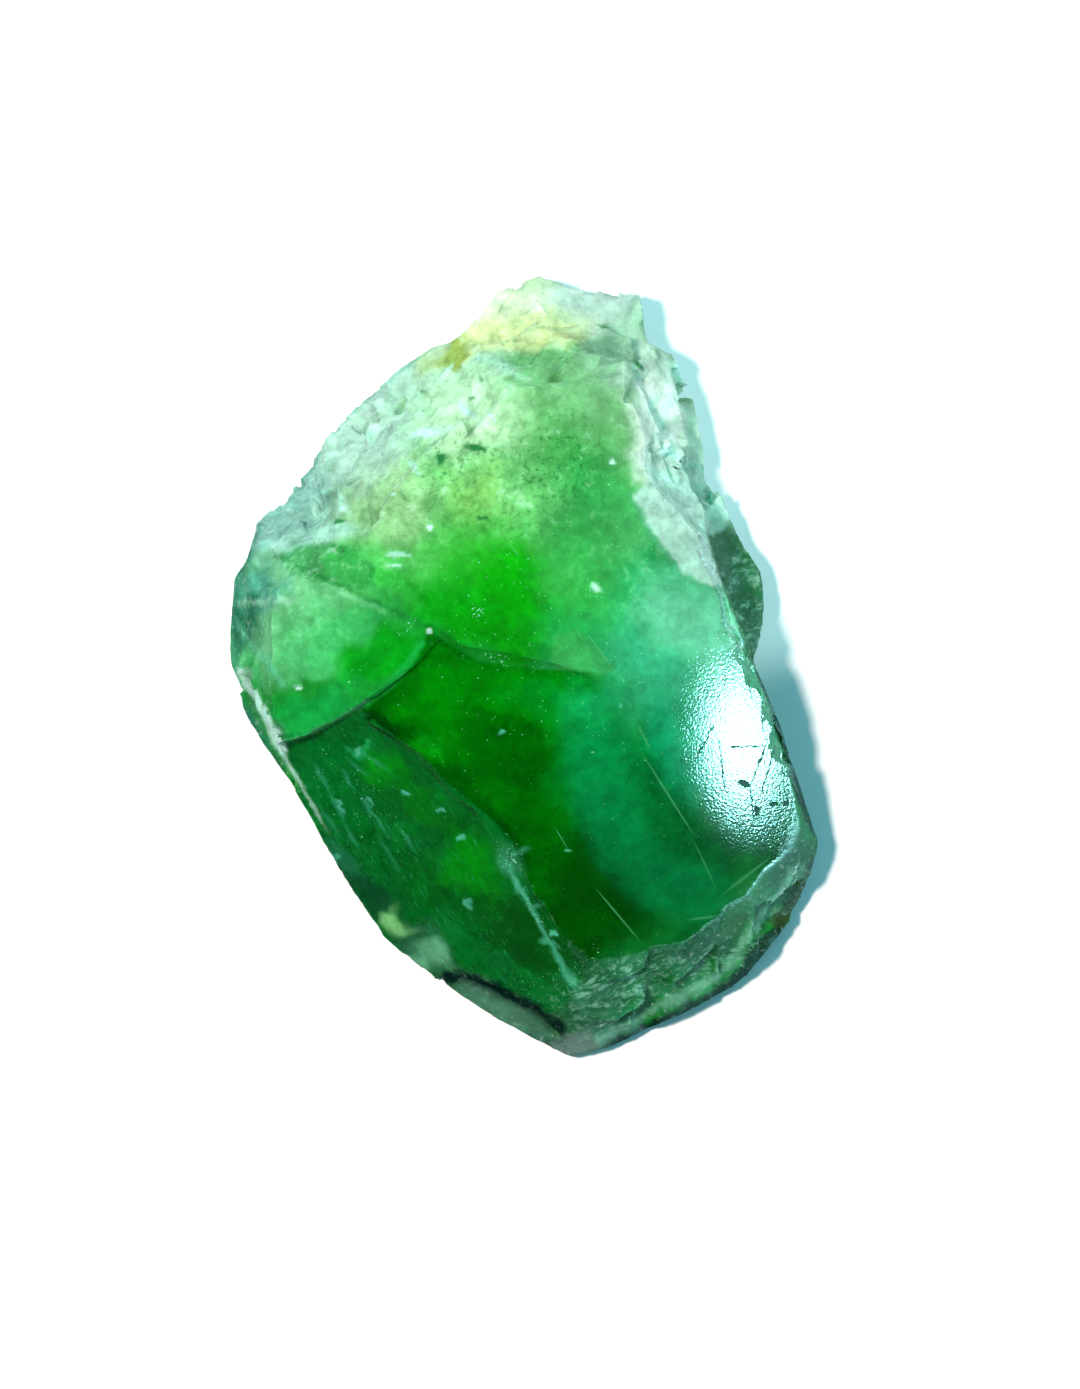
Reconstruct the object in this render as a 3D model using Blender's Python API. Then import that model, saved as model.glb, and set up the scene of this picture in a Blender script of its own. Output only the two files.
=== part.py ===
"""Fluorite specimen: one broken and cleaved fragment of green fluorite, lying on a cleavage face.

Metres, +Z up. The origin is the middle of the bounding box's underside, +Y runs along the
fragment's length towards its pale broken rim, and +X towards its glossy face. The tables
below are in millimetres, with X and Y as seen from above.
"""

import math
import random

import bmesh
import bpy
from mathutils import Euler, Matrix, Vector, noise

MM = 0.001

# Driving dimensions
LENGTH = 50.0 * MM
WIDTH = 37.6 * MM
HEIGHT = 15.5 * MM
CLEAVAGE_DIP = 70.53  # degrees between two of fluorite's octahedral cleavage planes

# The widest outline, clockwise from the top of the pale rim
TOP_RIGHT_RIM = [(1.0, 25.0), (3.1, 24.0), (6.3, 24.0), (7.4, 23.2), (8.2, 20.5), (9.6, 19.8)]
RIGHT_SHOULDER = [(10.7, 17.4), (11.5, 13.7), (11.7, 11.7)]
RIGHT_SHELF = [(12.6, 10.9), (13.8, 8.3), (15.0, 5.5), (15.2, 4.3), (15.0, 1.8), (14.5, 0.3)]
GLOSSY_FACE_EDGE = [(15.9, -3.1), (17.3, -6.4), (18.3, -9.6), (18.8, -11.3), (18.5, -12.4)]
LOWER_RIGHT_CORNER = [(16.8, -15.2), (14.7, -18.0), (13.9, -19.3)]
LOWER_RIGHT_EDGE = [(11.2, -21.1), (7.7, -23.0), (4.2, -24.6), (3.1, -25.0), (1.9, -24.9)]
LOWER_LEFT_EDGE = [(-0.6, -23.2), (-2.8, -21.9), (-5.1, -19.8), (-5.6, -20.0), (-9.1, -16.9)]
LEFT_SLOPE_FOOT = [(-11.9, -12.3), (-14.7, -7.6), (-16.5, -5.0), (-17.8, -2.9), (-17.8, -2.1)]
LEFT_EDGE = [(-17.5, -1.8), (-18.4, -0.1), (-18.7, 0.8), (-18.5, 5.2), (-17.1, 7.7), (-17.1, 8.7)]
TOP_LEFT_RIM = [(-16.4, 9.9), (-14.0, 12.4), (-12.9, 13.4), (-12.9, 14.4), (-11.4, 15.8)]
PALE_RIM = [(-9.2, 18.1), (-8.0, 19.3), (-5.8, 20.3), (-3.8, 20.9), (-2.8, 22.1), (-1.8, 24.2)]
OUTLINE = (
    TOP_RIGHT_RIM + RIGHT_SHOULDER + RIGHT_SHELF + GLOSSY_FACE_EDGE + LOWER_RIGHT_CORNER
    + LOWER_RIGHT_EDGE + LOWER_LEFT_EDGE + LEFT_SLOPE_FOOT + LEFT_EDGE + TOP_LEFT_RIM + PALE_RIM
)
OUTLINE_STEP = 1.3
OUTLINE_CRUMBLE = 0.2

# The crown, a domed surface: its top, and its radii to each side of the top
DOME_TOP = (1.5, 4.0, 15.5)
DOME_RADII_ACROSS = (34.0, 19.0)
DOME_RADII_ALONG = (42.0, 46.0)
DOME_SWELL = 0.25
DOME_SWELL_SIZE = 8.0
GLOSSY_UP_TO = -6.0  # y less x, from the top; the swell begins here and grows over the fade
GLOSSY_FADE = 16.0

# Broken faces of the crown: name, point, azimuth, dip, roughness, seed
CROWN_FACES = [
    ("pale rim", (-9.0, 18.8, 4.2), 133, 55, 0.55, 3),
    ("upper left rim", (-14.3, 12.6, 4.6), 141, 57, 0.45, 5),
    ("left edge", (-18.7, 3.0, 4.2), 181, 66, 0.20, 7),
    ("top of the rim", (2.0, 22.2, 7.0), 92, 48, 0.45, 11),
    ("right shoulder", (10.6, 14.6, 8.4), 26, 60, 0.50, 13),
    ("lower right bevel", (9.3, -22.3, 2.6), -62, 57, 0.40, 17),
    ("lower right corner", (17.2, -15.0, 4.4), -30, 52, 0.25, 19),
    ("tip", (3.0, -25.0, 1.4), -97, 52, 0.35, 23),
]

# The flake, the smooth face on the left of the crown, and the step along its lower edge
FLAKE_POINT = (-5.0, 1.5, 14.3)
FLAKE_AZIMUTH = 190.0
FLAKE_DIP = 17.0
FLAKE_EDGE = [
    (-2.4, 0.7), (-5.3, 1.3), (-6.6, -0.1), (-8.8, -1.8), (-11.2, -3.4), (-13.2, -4.4),
    (-15.2, -5.2),
]

# The dark window, the crown let down below that step; the drop fades out towards +X
WINDOW_FAR_SIDE = [
    (-14.0, -12.0), (-3.0, -28.0), (12.0, -28.0), (14.0, -3.0), (7.0, -1.8), (2.0, -0.2),
]
WINDOW_DROP = 1.2
WINDOW_FADES_FROM = -4.5
WINDOW_FADES_TO = 6.5

# The smooth cleavage face that slopes down to the lower left, with its plan
LEFT_SLOPE_POINT = (-6.1, -7.8, 10.8)
LEFT_SLOPE_AZIMUTH = 228.0
LEFT_SLOPE_DIP = 48.0
LEFT_SLOPE_STEPS = 0.09
LEFT_SLOPE_PLAN = [
    (-11.4, -3.5), (-13.2, -4.4), (-15.2, -5.2), (-17.0, -6.4), (-26.0, -14.0), (-6.0, -32.0),
    (4.4, -27.0), (4.2, -23.7), (3.3, -19.0), (1.4, -15.6), (-0.9, -12.3), (2.0, -8.0),
    (-4.0, 1.0),
]

# Faces of the underside, each leaning inwards from the widest outline down to the base. Their
# dips are a cleavage plane's, seen from below, or that of a break a few degrees flatter.
UNDERCUT = 180.0 - CLEAVAGE_DIP
BROKEN_UNDERCUT = UNDERCUT + 12.0
LIFTED_END_DIP = 155.0
UNDERSIDE_FACES = [
    ("under the glossy face", (18.6, -11.0, 3.8), 12, BROKEN_UNDERCUT, 0.20, 31),
    ("under the right shoulder", (15.2, 4.3, 3.2), 20, UNDERCUT, 0.30, 37),
    ("under the top", (3.0, 24.7, 3.8), 88, UNDERCUT, 0.30, 41),
    ("lifted end", (0.0, 14.5, 0.0), 104, LIFTED_END_DIP, 0.25, 29),
    ("under the pale rim", (-9.4, 18.6, 3.2), 133, BROKEN_UNDERCUT, 0.30, 43),
    ("under the left edge", (-18.8, 2.5, 2.8), 183, BROKEN_UNDERCUT, 0.20, 47),
    ("under the left slope", (-13.8, -10.0, 1.6), 213, UNDERCUT, 0.15, 53),
    ("under the lower left edge", (-2.9, -22.2, 1.4), 235, UNDERCUT, 0.15, 59),
    ("under the lower right edge", (9.6, -22.5, 2.2), -62, UNDERCUT, 0.25, 61),
    ("under the right corner", (17.8, -15.0, 4.0), -30, BROKEN_UNDERCUT, 0.25, 67),
]

# Shelves, where a slab has come away: name, plan, floor's point, azimuth, dip, roughness, seed
SHELVES = [
    (
        "pale shelf",
        [(-8.4, 19.8), (-5.0, 19.6), (-1.5, 20.6), (2.9, 21.9), (5.4, 20.9), (7.2, 20.2),
         (12.0, 21.0), (8.0, 28.0), (-6.0, 27.0)],
        (1.0, 22.0, 6.2), 85, 14, 0.40, 89,
    ),
    (
        "right shelf",
        [(10.9, 11.2), (11.5, 9.8), (11.8, 8.0), (12.1, 6.6), (12.6, 4.9), (13.3, 3.0),
         (14.4, 0.4), (17.5, 0.5), (17.5, 6.0), (14.5, 13.0), (11.5, 13.0)],
        (13.6, 5.0, 4.8), 20, 12, 0.25, 71,
    ),
    (
        "shoulder sliver",
        [(9.6, 18.9), (9.9, 16.2), (10.3, 13.8), (10.9, 11.2), (11.4, 10.6), (13.5, 10.6),
         (13.5, 18.5)],
        (11.0, 14.5, 4.4), 20, 22, 0.15, 73,
    ),
    (
        "left sliver",
        [(-18.6, -0.6), (-17.4, -1.6), (-16.7, -3.0), (-15.8, -4.6), (-14.9, -6.2),
         (-14.0, -8.0), (-17.0, -9.0), (-20.0, -2.5)],
        (-17.0, -4.2, 3.0), 205, 20, 0.10, 79,
    ),
    (
        "lower left lip",
        [(-6.6, -18.4), (-5.0, -18.6), (-3.0, -20.0), (-0.4, -21.5), (1.6, -22.8), (2.6, -24.2),
         (0.5, -26.5), (-7.5, -21.5)],
        (-1.6, -22.2, 2.0), 240, 18, 0.15, 83,
    ),
]

# Shell-shaped chips: name, centre of the ball, its radius
CHIPS = [
    ("frosted bite", (18.4, 12.4, 21.9), 13.8),
    ("hollow in the pale rim", (-3.0, 24.6, 10.6), 4.4),
    ("hollow in the upper left rim", (-15.6, 15.2, 9.0), 4.0),
    ("hollow below the corner", (19.2, -16.4, 4.0), 3.4),
    ("hollow on the lower bevel", (9.4, -25.2, 6.6), 4.6),
    ("hollow beside the tip", (6.0, -26.6, 4.4), 2.8),
]
CHIP_ROUGHNESS = 0.12

# Splinters broken from the rough faces, in bands along a line: the line, the band's half width,
# the azimuth and dip of the face, how many splinters, the deepest, seed
SPLINTERS = [
    (
        [(-17.0, 8.2, 4.2), (-12.8, 12.8, 4.6), (-8.8, 18.0, 4.8), (-4.0, 20.8, 6.0)],
        0.8, 136, 60, 16, 0.9, 31,
    ),
    (
        [(-15.6, 7.0, 7.0), (-11.4, 11.4, 7.5), (-7.2, 16.0, 8.0), (-2.4, 19.0, 9.0)],
        1.6, 136, 50, 17, 0.7, 2,
    ),
    (
        [(-13.4, 5.8, 10.0), (-9.2, 10.2, 11.0), (-5.4, 14.6, 11.5), (-0.8, 17.8, 12.0)],
        0.7, 136, 30, 7, 0.5, 9,
    ),
    ([(-3.4, 21.4, 6.5), (0.2, 24.0, 5.5), (6.4, 23.0, 6.0), (8.0, 21.0, 7.0)], 1.2, 92, 30, 9, 0.7, 3),
    ([(-2.0, 19.8, 10.4), (7.2, 19.4, 10.2)], 1.4, 92, 46, 8, 0.5, 13),
    ([(7.6, 19.0, 9.5), (9.0, 15.4, 10.0), (10.6, 11.6, 10.0)], 1.6, 26, 55, 10, 0.7, 4),
    (
        [(17.2, -13.6, 4.5), (14.0, -17.8, 4.0), (9.4, -21.2, 4.0), (3.8, -23.8, 3.0)],
        0.9, -60, 58, 13, 0.7, 5,
    ),
    ([(14.0, -15.8, 6.5), (8.8, -19.4, 7.0), (4.2, -21.8, 6.0)], 1.2, -60, 50, 9, 0.6, 6),
    ([(-18.0, 6.0, 5.0), (-17.9, 0.0, 5.0), (-16.0, -4.6, 4.0)], 0.7, 182, 64, 6, 0.4, 7),
    (
        [(10.6, 12.0, 6.8), (12.2, 6.6, 7.0), (13.8, 1.8, 7.2), (16.2, -4.0, 6.2), (17.6, -8.0, 5.0)],
        1.9, 19, 82, 20, 0.6, 14,
    ),
    ([(-16.2, 9.6, 2.6), (-12.6, 14.0, 2.8), (-9.4, 17.6, 2.8)], 0.6, 135, 96, 6, 0.4, 10),
    ([(-1.2, 24.2, 4.4), (7.0, 23.2, 4.4)], 0.4, 88, 95, 5, 0.4, 12),
]
SPLINTER_SHALLOWEST = 0.15
SPLINTER_LENGTHS = (2.4, 5.6)
SPLINTER_WIDTHS = (1.3, 2.8)
SPLINTER_THICKNESS = 3.0
SPLINTER_SPREAD = 0.5
SPLINTER_SLANT = 0.58
SPLINTER_TILT = 16.0  # degrees, the most that a splinter's floor leans from its face

SPLINTER_TURNS = (-60, 0, 0, 0, 60)  # degrees, along the face's cleavage lines
SPLINTER_WANDER = 10

# Relief of a broken face: the lengths of its waves and ledges along the strike and up the slope
WAVE_SIZE = (6.2, 4.5)
WAVE_SHARE = 0.8
LEDGE_SIZE = (7.7, 2.9)
LEDGES_PER_MM = 3.0

# Relief of the long cleavage face, and of a chip
LONG_STEP_SIZE = (2.2, 25.0)
STEPS_EACH_WAY = 2.0
CHIP_RELIEF_SIZE = 1.1

# The cutters' own sizes: the cells of their faces, and how far they reach
ROUGH_CELL = 1.5
SMOOTH_CELL = 1.6
KNIFE_HALF_SPAN = 27.0
WHOLE_FACE = 2 * KNIFE_HALF_SPAN
KNIFE_THICKNESS = 26.0
BLOCK_TOP = 20.0
PLAN_FLOOR = -1.0
PLAN_CEILING = 25.0

FINEST = 0.005
KEPT_SHARE = 0.5  # of the triangles, when the finished fragment is simplified

GREEN = (0.02, 0.30, 0.06, 1.0)
ROUGHNESS = 0.18
REFRACTION = 1.434
CLARITY = 0.8


def clear_scene():
    for old in list(bpy.data.objects):
        bpy.data.objects.remove(old, do_unlink=True)


def new_object(name, bm):
    """An object in the scene from a bmesh in millimetres."""
    bmesh.ops.recalc_face_normals(bm, faces=bm.faces[:])
    bmesh.ops.scale(bm, vec=(MM, MM, MM), verts=bm.verts[:])
    mesh = bpy.data.meshes.new(name)
    bm.to_mesh(mesh)
    bm.free()
    made = bpy.data.objects.new(name, mesh)
    bpy.context.scene.collection.objects.link(made)
    return made


def clean(body):
    """Merges slivers and makes every face a triangle, so that the next cut is a sound one."""
    bm = bmesh.new()
    bm.from_mesh(body.data)
    bmesh.ops.remove_doubles(bm, verts=bm.verts[:], dist=FINEST * MM)
    bmesh.ops.dissolve_degenerate(bm, edges=bm.edges[:], dist=FINEST * MM)
    bmesh.ops.triangulate(bm, faces=bm.faces[:])
    bm.to_mesh(body.data)
    bm.free()


def apply_modifiers(body):
    graph = bpy.context.evaluated_depsgraph_get()
    body.data = bpy.data.meshes.new_from_object(body.evaluated_get(graph))
    body.modifiers.clear()
    clean(body)


def combine(body, tool, operation, overlapping=False):
    """Cuts the body with the tool, or keeps what they share, and removes the tool."""
    modifier = body.modifiers.new(operation.title(), "BOOLEAN")
    modifier.operation = operation
    modifier.solver = "EXACT"
    modifier.use_self = overlapping
    modifier.object = tool
    apply_modifiers(body)
    bpy.data.objects.remove(tool, do_unlink=True)


def simplify(body):
    """Takes out the slivers and the smallest triangles, and leaves the shape as it is."""
    modifier = body.modifiers.new("Simplify", "DECIMATE")
    modifier.ratio = KEPT_SHARE
    apply_modifiers(body)


def crumbled(points, step, depth, seed):
    """The closed plan with its edges divided into steps and set in and out a little."""
    result = []
    for start, end in zip(points, points[1:] + points[:1]):
        start, end = Vector(start), Vector(end)
        along = end - start
        across = Vector((-along.y, along.x)).normalized()
        count = max(1, round(along.length / step))
        for i in range(count):
            spot = start + along * (i / count)
            wander = noise.noise(Vector((spot.x, spot.y, seed)) * 1.1)
            result.append(spot + across * depth * wander * (2.0 if i else 1.0))
    return result


def prism(name, plan, low, high):
    """A straight-sided block on a plan."""
    bm = bmesh.new()
    floor = bm.faces.new([bm.verts.new((p[0], p[1], low)) for p in plan])
    raised = bmesh.ops.extrude_face_region(bm, geom=[floor])["geom"]
    for vert in (v for v in raised if isinstance(v, bmesh.types.BMVert)):
        vert.co.z = high
    return new_object(name, bm)


def facing(azimuth, dip):
    """Turns X along the strike, Y up the slope and Z out of a face of this azimuth and dip."""
    az, tilt = math.radians(azimuth), math.radians(dip)
    normal = Vector((math.sin(tilt) * math.cos(az), math.sin(tilt) * math.sin(az), math.cos(tilt)))
    strike = Vector((-math.sin(az), math.cos(az), 0.0))
    return Matrix((strike, normal.cross(strike), normal)).transposed().to_4x4()


def knife(name, point, azimuth, dip, cell, relief):
    """A thick cutter whose near side is the face at the point, facing azimuth and dip."""
    bm = bmesh.new()
    count = max(1, round(2 * KNIFE_HALF_SPAN / cell))
    bmesh.ops.create_grid(bm, x_segments=count, y_segments=count, size=KNIFE_HALF_SPAN)
    for vert in bm.verts:
        vert.co.z = relief(vert.co.x, vert.co.y)
    raised = bmesh.ops.extrude_face_region(bm, geom=bm.faces[:])["geom"]
    for vert in (v for v in raised if isinstance(v, bmesh.types.BMVert)):
        vert.co.z = KNIFE_THICKNESS
    place = Matrix.Translation(point) @ facing(azimuth, dip)
    bmesh.ops.transform(bm, matrix=place, verts=bm.verts[:])
    return new_object(name, bm)


def broken(u, v, depth, seed):
    """Height of a fractured face: low waves, and cleavage ledges drawn out along the face."""
    waves = noise.fractal(Vector((u / WAVE_SIZE[0], v / WAVE_SIZE[1], seed * 1.7)), 0.9, 2.1, 3)
    ledges = noise.noise(Vector((u / LEDGE_SIZE[0], v / LEDGE_SIZE[1], seed * 2.3)))
    return depth * WAVE_SHARE * waves + round(ledges * depth * LEDGES_PER_MM) / LEDGES_PER_MM


def flat(u, v):
    return 0.0


def dome_height(u, v):
    """Height of the crown below its top, with a swell that fades out on the glossy side."""
    across = DOME_RADII_ACROSS[u > 0]
    along = DOME_RADII_ALONG[v > 0]
    unevenness = min(1.0, max(0.0, (v - u - GLOSSY_UP_TO) / GLOSSY_FADE))
    spot = Vector((u, v, 2.0)) / DOME_SWELL_SIZE
    swell = DOME_SWELL * unevenness * noise.fractal(spot, 1.0, 2.0, 3)
    return swell - u * u / (2 * across) - v * v / (2 * along)


def window_height(u, v):
    """Height of the crown where it is let down beside the flake."""
    fade = (WINDOW_FADES_TO - u - DOME_TOP[0]) / (WINDOW_FADES_TO - WINDOW_FADES_FROM)
    fade = min(1.0, max(0.0, fade))
    return dome_height(u, v) - WINDOW_DROP * fade * fade * (3.0 - 2.0 * fade)


def long_steps(u, v):
    """Long low steps that run down the cleavage face."""
    rise = noise.noise(Vector((u / LONG_STEP_SIZE[0], v / LONG_STEP_SIZE[1], 9.0)))
    return -LEFT_SLOPE_STEPS * round(rise * STEPS_EACH_WAY)


def cut_within(body, slab, plan, seed):
    """Cuts with the part of a slab that lies over a plan."""
    edge = crumbled(plan, OUTLINE_STEP, OUTLINE_CRUMBLE, seed)
    combine(slab, prism("plan", edge, PLAN_FLOOR, PLAN_CEILING), "INTERSECT")
    combine(body, slab, "DIFFERENCE")


def cut_smooth_faces(body):
    # A knife's own u axis runs along the strike, so an azimuth of -90 lays u along +X.
    dome = knife("dome", DOME_TOP, -90, 0, SMOOTH_CELL, dome_height)
    combine(body, dome, "DIFFERENCE")
    flake = knife("flake", FLAKE_POINT, FLAKE_AZIMUTH, FLAKE_DIP, WHOLE_FACE, flat)
    combine(body, flake, "DIFFERENCE")
    window = knife("window", DOME_TOP, -90, 0, SMOOTH_CELL, window_height)
    cut_within(body, window, FLAKE_EDGE + WINDOW_FAR_SIDE, 2)
    slope = knife(
        "slope", LEFT_SLOPE_POINT, LEFT_SLOPE_AZIMUTH, LEFT_SLOPE_DIP, SMOOTH_CELL, long_steps
    )
    cut_within(body, slope, LEFT_SLOPE_PLAN, 6)


def cut_faces(body, faces):
    for name, point, azimuth, dip, depth, seed in faces:
        tool = knife(name, point, azimuth, dip, ROUGH_CELL, lambda u, v: broken(u, v, depth, seed))
        combine(body, tool, "DIFFERENCE")


def cut_shelves(body):
    for name, plan, point, azimuth, dip, depth, seed in SHELVES:
        slab = knife(name, point, azimuth, dip, ROUGH_CELL, lambda u, v: broken(u, v, depth, seed))
        cut_within(body, slab, plan, seed)


def cut_chips(body):
    for name, centre, radius in CHIPS:
        bm = bmesh.new()
        bmesh.ops.create_icosphere(bm, subdivisions=3, radius=radius)
        for vert in bm.verts:
            relief = noise.noise(vert.co / CHIP_RELIEF_SIZE)
            vert.co += vert.co.normalized() * CHIP_ROUGHNESS * relief
        bmesh.ops.translate(bm, vec=centre, verts=bm.verts[:])
        combine(body, new_object(name, bm), "DIFFERENCE")


def point_on_line(points, share):
    """The point that lies the given share of the way along an open line."""
    steps = [(Vector(b) - Vector(a)).length for a, b in zip(points, points[1:])]
    left = share * sum(steps)
    for start, end, step in zip(points, points[1:], steps):
        if left <= step:
            return Vector(start).lerp(Vector(end), left / step)
        left -= step
    return Vector(points[-1])


def splinter(bm, place, size, sink):
    """Adds a block whose flat side lies the given depth below the place's own XY plane."""
    made = bmesh.ops.create_cube(bm, size=1.0)["verts"]
    for vert in made:
        spread = 1.0 + SPLINTER_SPREAD * (vert.co.z + 0.5)
        vert.co = Vector((
            (vert.co.x + SPLINTER_SLANT * vert.co.y * size[1] / size[0]) * size[0] * spread,
            vert.co.y * size[1] * spread,
            (vert.co.z + 0.5) * size[2] - sink,
        ))
    bmesh.ops.transform(bm, matrix=place, verts=made)


def cut_splinters(body):
    """Sinks the flat side of a tilted block a little way into a face at each spot."""
    bm = bmesh.new()
    for line, half_width, azimuth, dip, count, deepest, seed in SPLINTERS:
        face = facing(azimuth, dip)
        outwards = face.col[2].to_3d()
        dice = random.Random(seed)
        for i in range(count):
            stray = Vector((dice.uniform(-1, 1), dice.uniform(-1, 1), 0.0)) * half_width
            spot = point_on_line(line, (i + dice.random()) / count) + face.to_3x3() @ stray
            size = (dice.uniform(*SPLINTER_LENGTHS), dice.uniform(*SPLINTER_WIDTHS), SPLINTER_THICKNESS)
            sink = dice.uniform(SPLINTER_SHALLOWEST, deepest)
            lean = Euler((
                math.radians(dice.uniform(-SPLINTER_TILT, SPLINTER_TILT)),
                math.radians(dice.uniform(-SPLINTER_TILT, SPLINTER_TILT)),
                math.radians(
                    dice.choice(SPLINTER_TURNS) + dice.uniform(-SPLINTER_WANDER, SPLINTER_WANDER)
                ),
            ))
            found, hit, _normal, _face = body.ray_cast((spot + outwards * BLOCK_TOP) * MM, -outwards)
            if found:
                place = Matrix.Translation(hit / MM) @ face @ lean.to_matrix().to_4x4()
                splinter(bm, place, size, sink)
    combine(body, new_object("splinters", bm), "DIFFERENCE", overlapping=True)


def keep_largest_part(body):
    """Removes any crumb that a cut has left loose."""
    bm = bmesh.new()
    bm.from_mesh(body.data)
    parts, unseen = [], set(bm.verts)
    while unseen:
        part, edge_of_part = set(), [unseen.pop()]
        while edge_of_part:
            vert = edge_of_part.pop()
            part.add(vert)
            near = {edge.other_vert(vert) for edge in vert.link_edges} & unseen
            unseen -= near
            edge_of_part.extend(near)
        parts.append(part)
    largest = max(parts, key=len)
    bmesh.ops.delete(bm, geom=[v for v in bm.verts if v not in largest], context="VERTS")
    bm.to_mesh(body.data)
    bm.free()


def fit_to_size(body):
    """Centres the fragment over the origin and brings it to its exact overall size."""
    corners = [vert.co for vert in body.data.vertices]
    low = Vector(min(c[i] for c in corners) for i in range(3))
    high = Vector(max(c[i] for c in corners) for i in range(3))
    middle = Vector(((low.x + high.x) / 2, (low.y + high.y) / 2, low.z))
    size = high - low
    stretch = Vector((WIDTH / size.x, LENGTH / size.y, HEIGHT / size.z))
    for vert in body.data.vertices:
        vert.co = (vert.co - middle) * stretch


def fluorite_material():
    material = bpy.data.materials.new("green_fluorite")
    material.use_nodes = True
    shader = material.node_tree.nodes["Principled BSDF"]
    shader.inputs["Base Color"].default_value = GREEN
    shader.inputs["Roughness"].default_value = ROUGHNESS
    shader.inputs["Metallic"].default_value = 0.0
    shader.inputs["IOR"].default_value = REFRACTION
    shader.inputs["Transmission Weight"].default_value = CLARITY
    return material


def fluorite():
    plan = crumbled(OUTLINE, OUTLINE_STEP, OUTLINE_CRUMBLE, 1)
    body = prism("fluorite_crystal", plan, 0.0, BLOCK_TOP)
    cut_smooth_faces(body)
    cut_faces(body, CROWN_FACES)
    cut_faces(body, UNDERSIDE_FACES)
    cut_shelves(body)
    cut_chips(body)
    cut_splinters(body)
    keep_largest_part(body)
    simplify(body)
    fit_to_size(body)
    body.data.materials.clear()
    body.data.materials.append(fluorite_material())
    return body


clear_scene()
fluorite()
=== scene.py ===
"""Looks of the fluorite specimen: a fragment of clear to milky green fluorite on a white sheet.

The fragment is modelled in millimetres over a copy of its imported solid, with finer splinters on
its broken rims and smooth cleavage faces, and is then brought to metres. +Z is up, +Y runs to the
pale broken rim and +X to the glossy face, as in the solid.
"""

import math
import random

import bpy
import numpy as np
from mathutils import Euler, Matrix, Vector, noise


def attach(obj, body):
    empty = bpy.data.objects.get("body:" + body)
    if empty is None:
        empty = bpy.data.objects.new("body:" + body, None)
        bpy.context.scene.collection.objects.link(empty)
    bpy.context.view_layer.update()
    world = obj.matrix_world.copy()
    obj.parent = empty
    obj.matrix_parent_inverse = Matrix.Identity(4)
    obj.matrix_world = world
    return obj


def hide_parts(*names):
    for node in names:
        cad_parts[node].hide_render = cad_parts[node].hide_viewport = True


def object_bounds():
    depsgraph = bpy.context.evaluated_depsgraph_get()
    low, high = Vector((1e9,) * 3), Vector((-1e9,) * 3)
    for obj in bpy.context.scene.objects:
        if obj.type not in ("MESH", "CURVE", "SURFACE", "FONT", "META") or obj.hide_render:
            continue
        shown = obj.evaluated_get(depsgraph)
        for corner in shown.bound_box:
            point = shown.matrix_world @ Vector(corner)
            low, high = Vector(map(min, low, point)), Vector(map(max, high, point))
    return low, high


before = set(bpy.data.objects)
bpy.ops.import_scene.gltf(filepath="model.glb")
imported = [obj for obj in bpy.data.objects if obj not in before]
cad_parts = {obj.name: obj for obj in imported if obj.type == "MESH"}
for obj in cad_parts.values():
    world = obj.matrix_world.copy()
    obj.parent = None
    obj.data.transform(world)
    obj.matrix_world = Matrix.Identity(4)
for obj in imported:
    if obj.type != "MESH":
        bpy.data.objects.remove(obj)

MM = 0.001
NODE = "fluorite_crystal"
CAD_BOX = [list(corner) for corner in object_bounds()]

# The photograph looks straight down, from far away
CAMERA_AT = (1.05 * MM, -1.75 * MM, 800.0 * MM)
LENS = 322.5

# Light of the room, and what polished faces mirror of it
DAYLIGHT = (0.17, 0.62, 0.71, 1.0)
HORIZON = (0.09, 0.30, 0.34, 1.0)
BACKDROP = (0.86, 0.90, 0.91, 1.0)
MIRRORED_ROOM = (0.01, 0.04, 0.04, 1.0)
SHEET_WHITE = (0.66, 0.66, 0.66, 1.0)
MIRRORED_SHEET = (0.02, 0.05, 0.05, 1.0)
UPPER_RIGHT = (13 * MM, 16.5 * MM, 0.0)

# Plans of the smooth faces, in millimetres from above
CROWN_PLAN = [
    (-17.6, -1.0), (-17.8, 3.5), (-15.4, 6.0), (-12.3, 9.2), (-8.6, 13.6), (-5.0, 17.4),
    (-1.5, 19.0), (6.5, 19.2), (7.6, 16.0), (8.0, 12.6), (12.3, 8.0), (13.5, 3.0), (15.1, 0.1),
    (16.6, -3.5), (18.0, -7.8), (18.6, -10.4), (17.4, -12.0), (15.6, -13.2), (14.4, -14.8),
    (12.9, -16.4), (11.0, -17.5), (8.6, -18.4), (4.2, -19.0), (1.4, -16.4),
    (-1.2, -12.0), (-3.8, -9.9), (-6.8, -7.3), (-11.5, -3.5), (-14.9, -5.0),
]
STEP_PLAN = [
    (8.0, -2.0), (5.6, -0.5), (3.3, -0.2), (1.0, -0.1), (-1.2, 0.1), (-2.8, 0.4), (-4.4, 1.3),
    (-6.0, 2.4), (-6.3, 1.4), (-6.8, 0.5), (-7.5, -0.5), (-8.4, -1.4), (-9.8, -2.4), (-11.7, -3.5),
    (-13.2, -4.3), (-15.2, -5.2), (-3.0, -28.0), (12.0, -28.0), (14.0, -3.0),
]
WINDOW_PLAN = [
    (-11.4, -3.5), (-9.6, -2.4), (-8.2, -1.2), (-7.2, -1.2), (-5.4, -1.8), (-2.8, -2.6), (0.3, -3.4),
    (2.2, -4.2), (3.8, -7.0), (4.2, -11.0), (1.2, -16.6), (-1.0, -12.3), (-3.8, -9.9), (-6.8, -7.3),
    (-10.0, -4.9),
]
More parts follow.
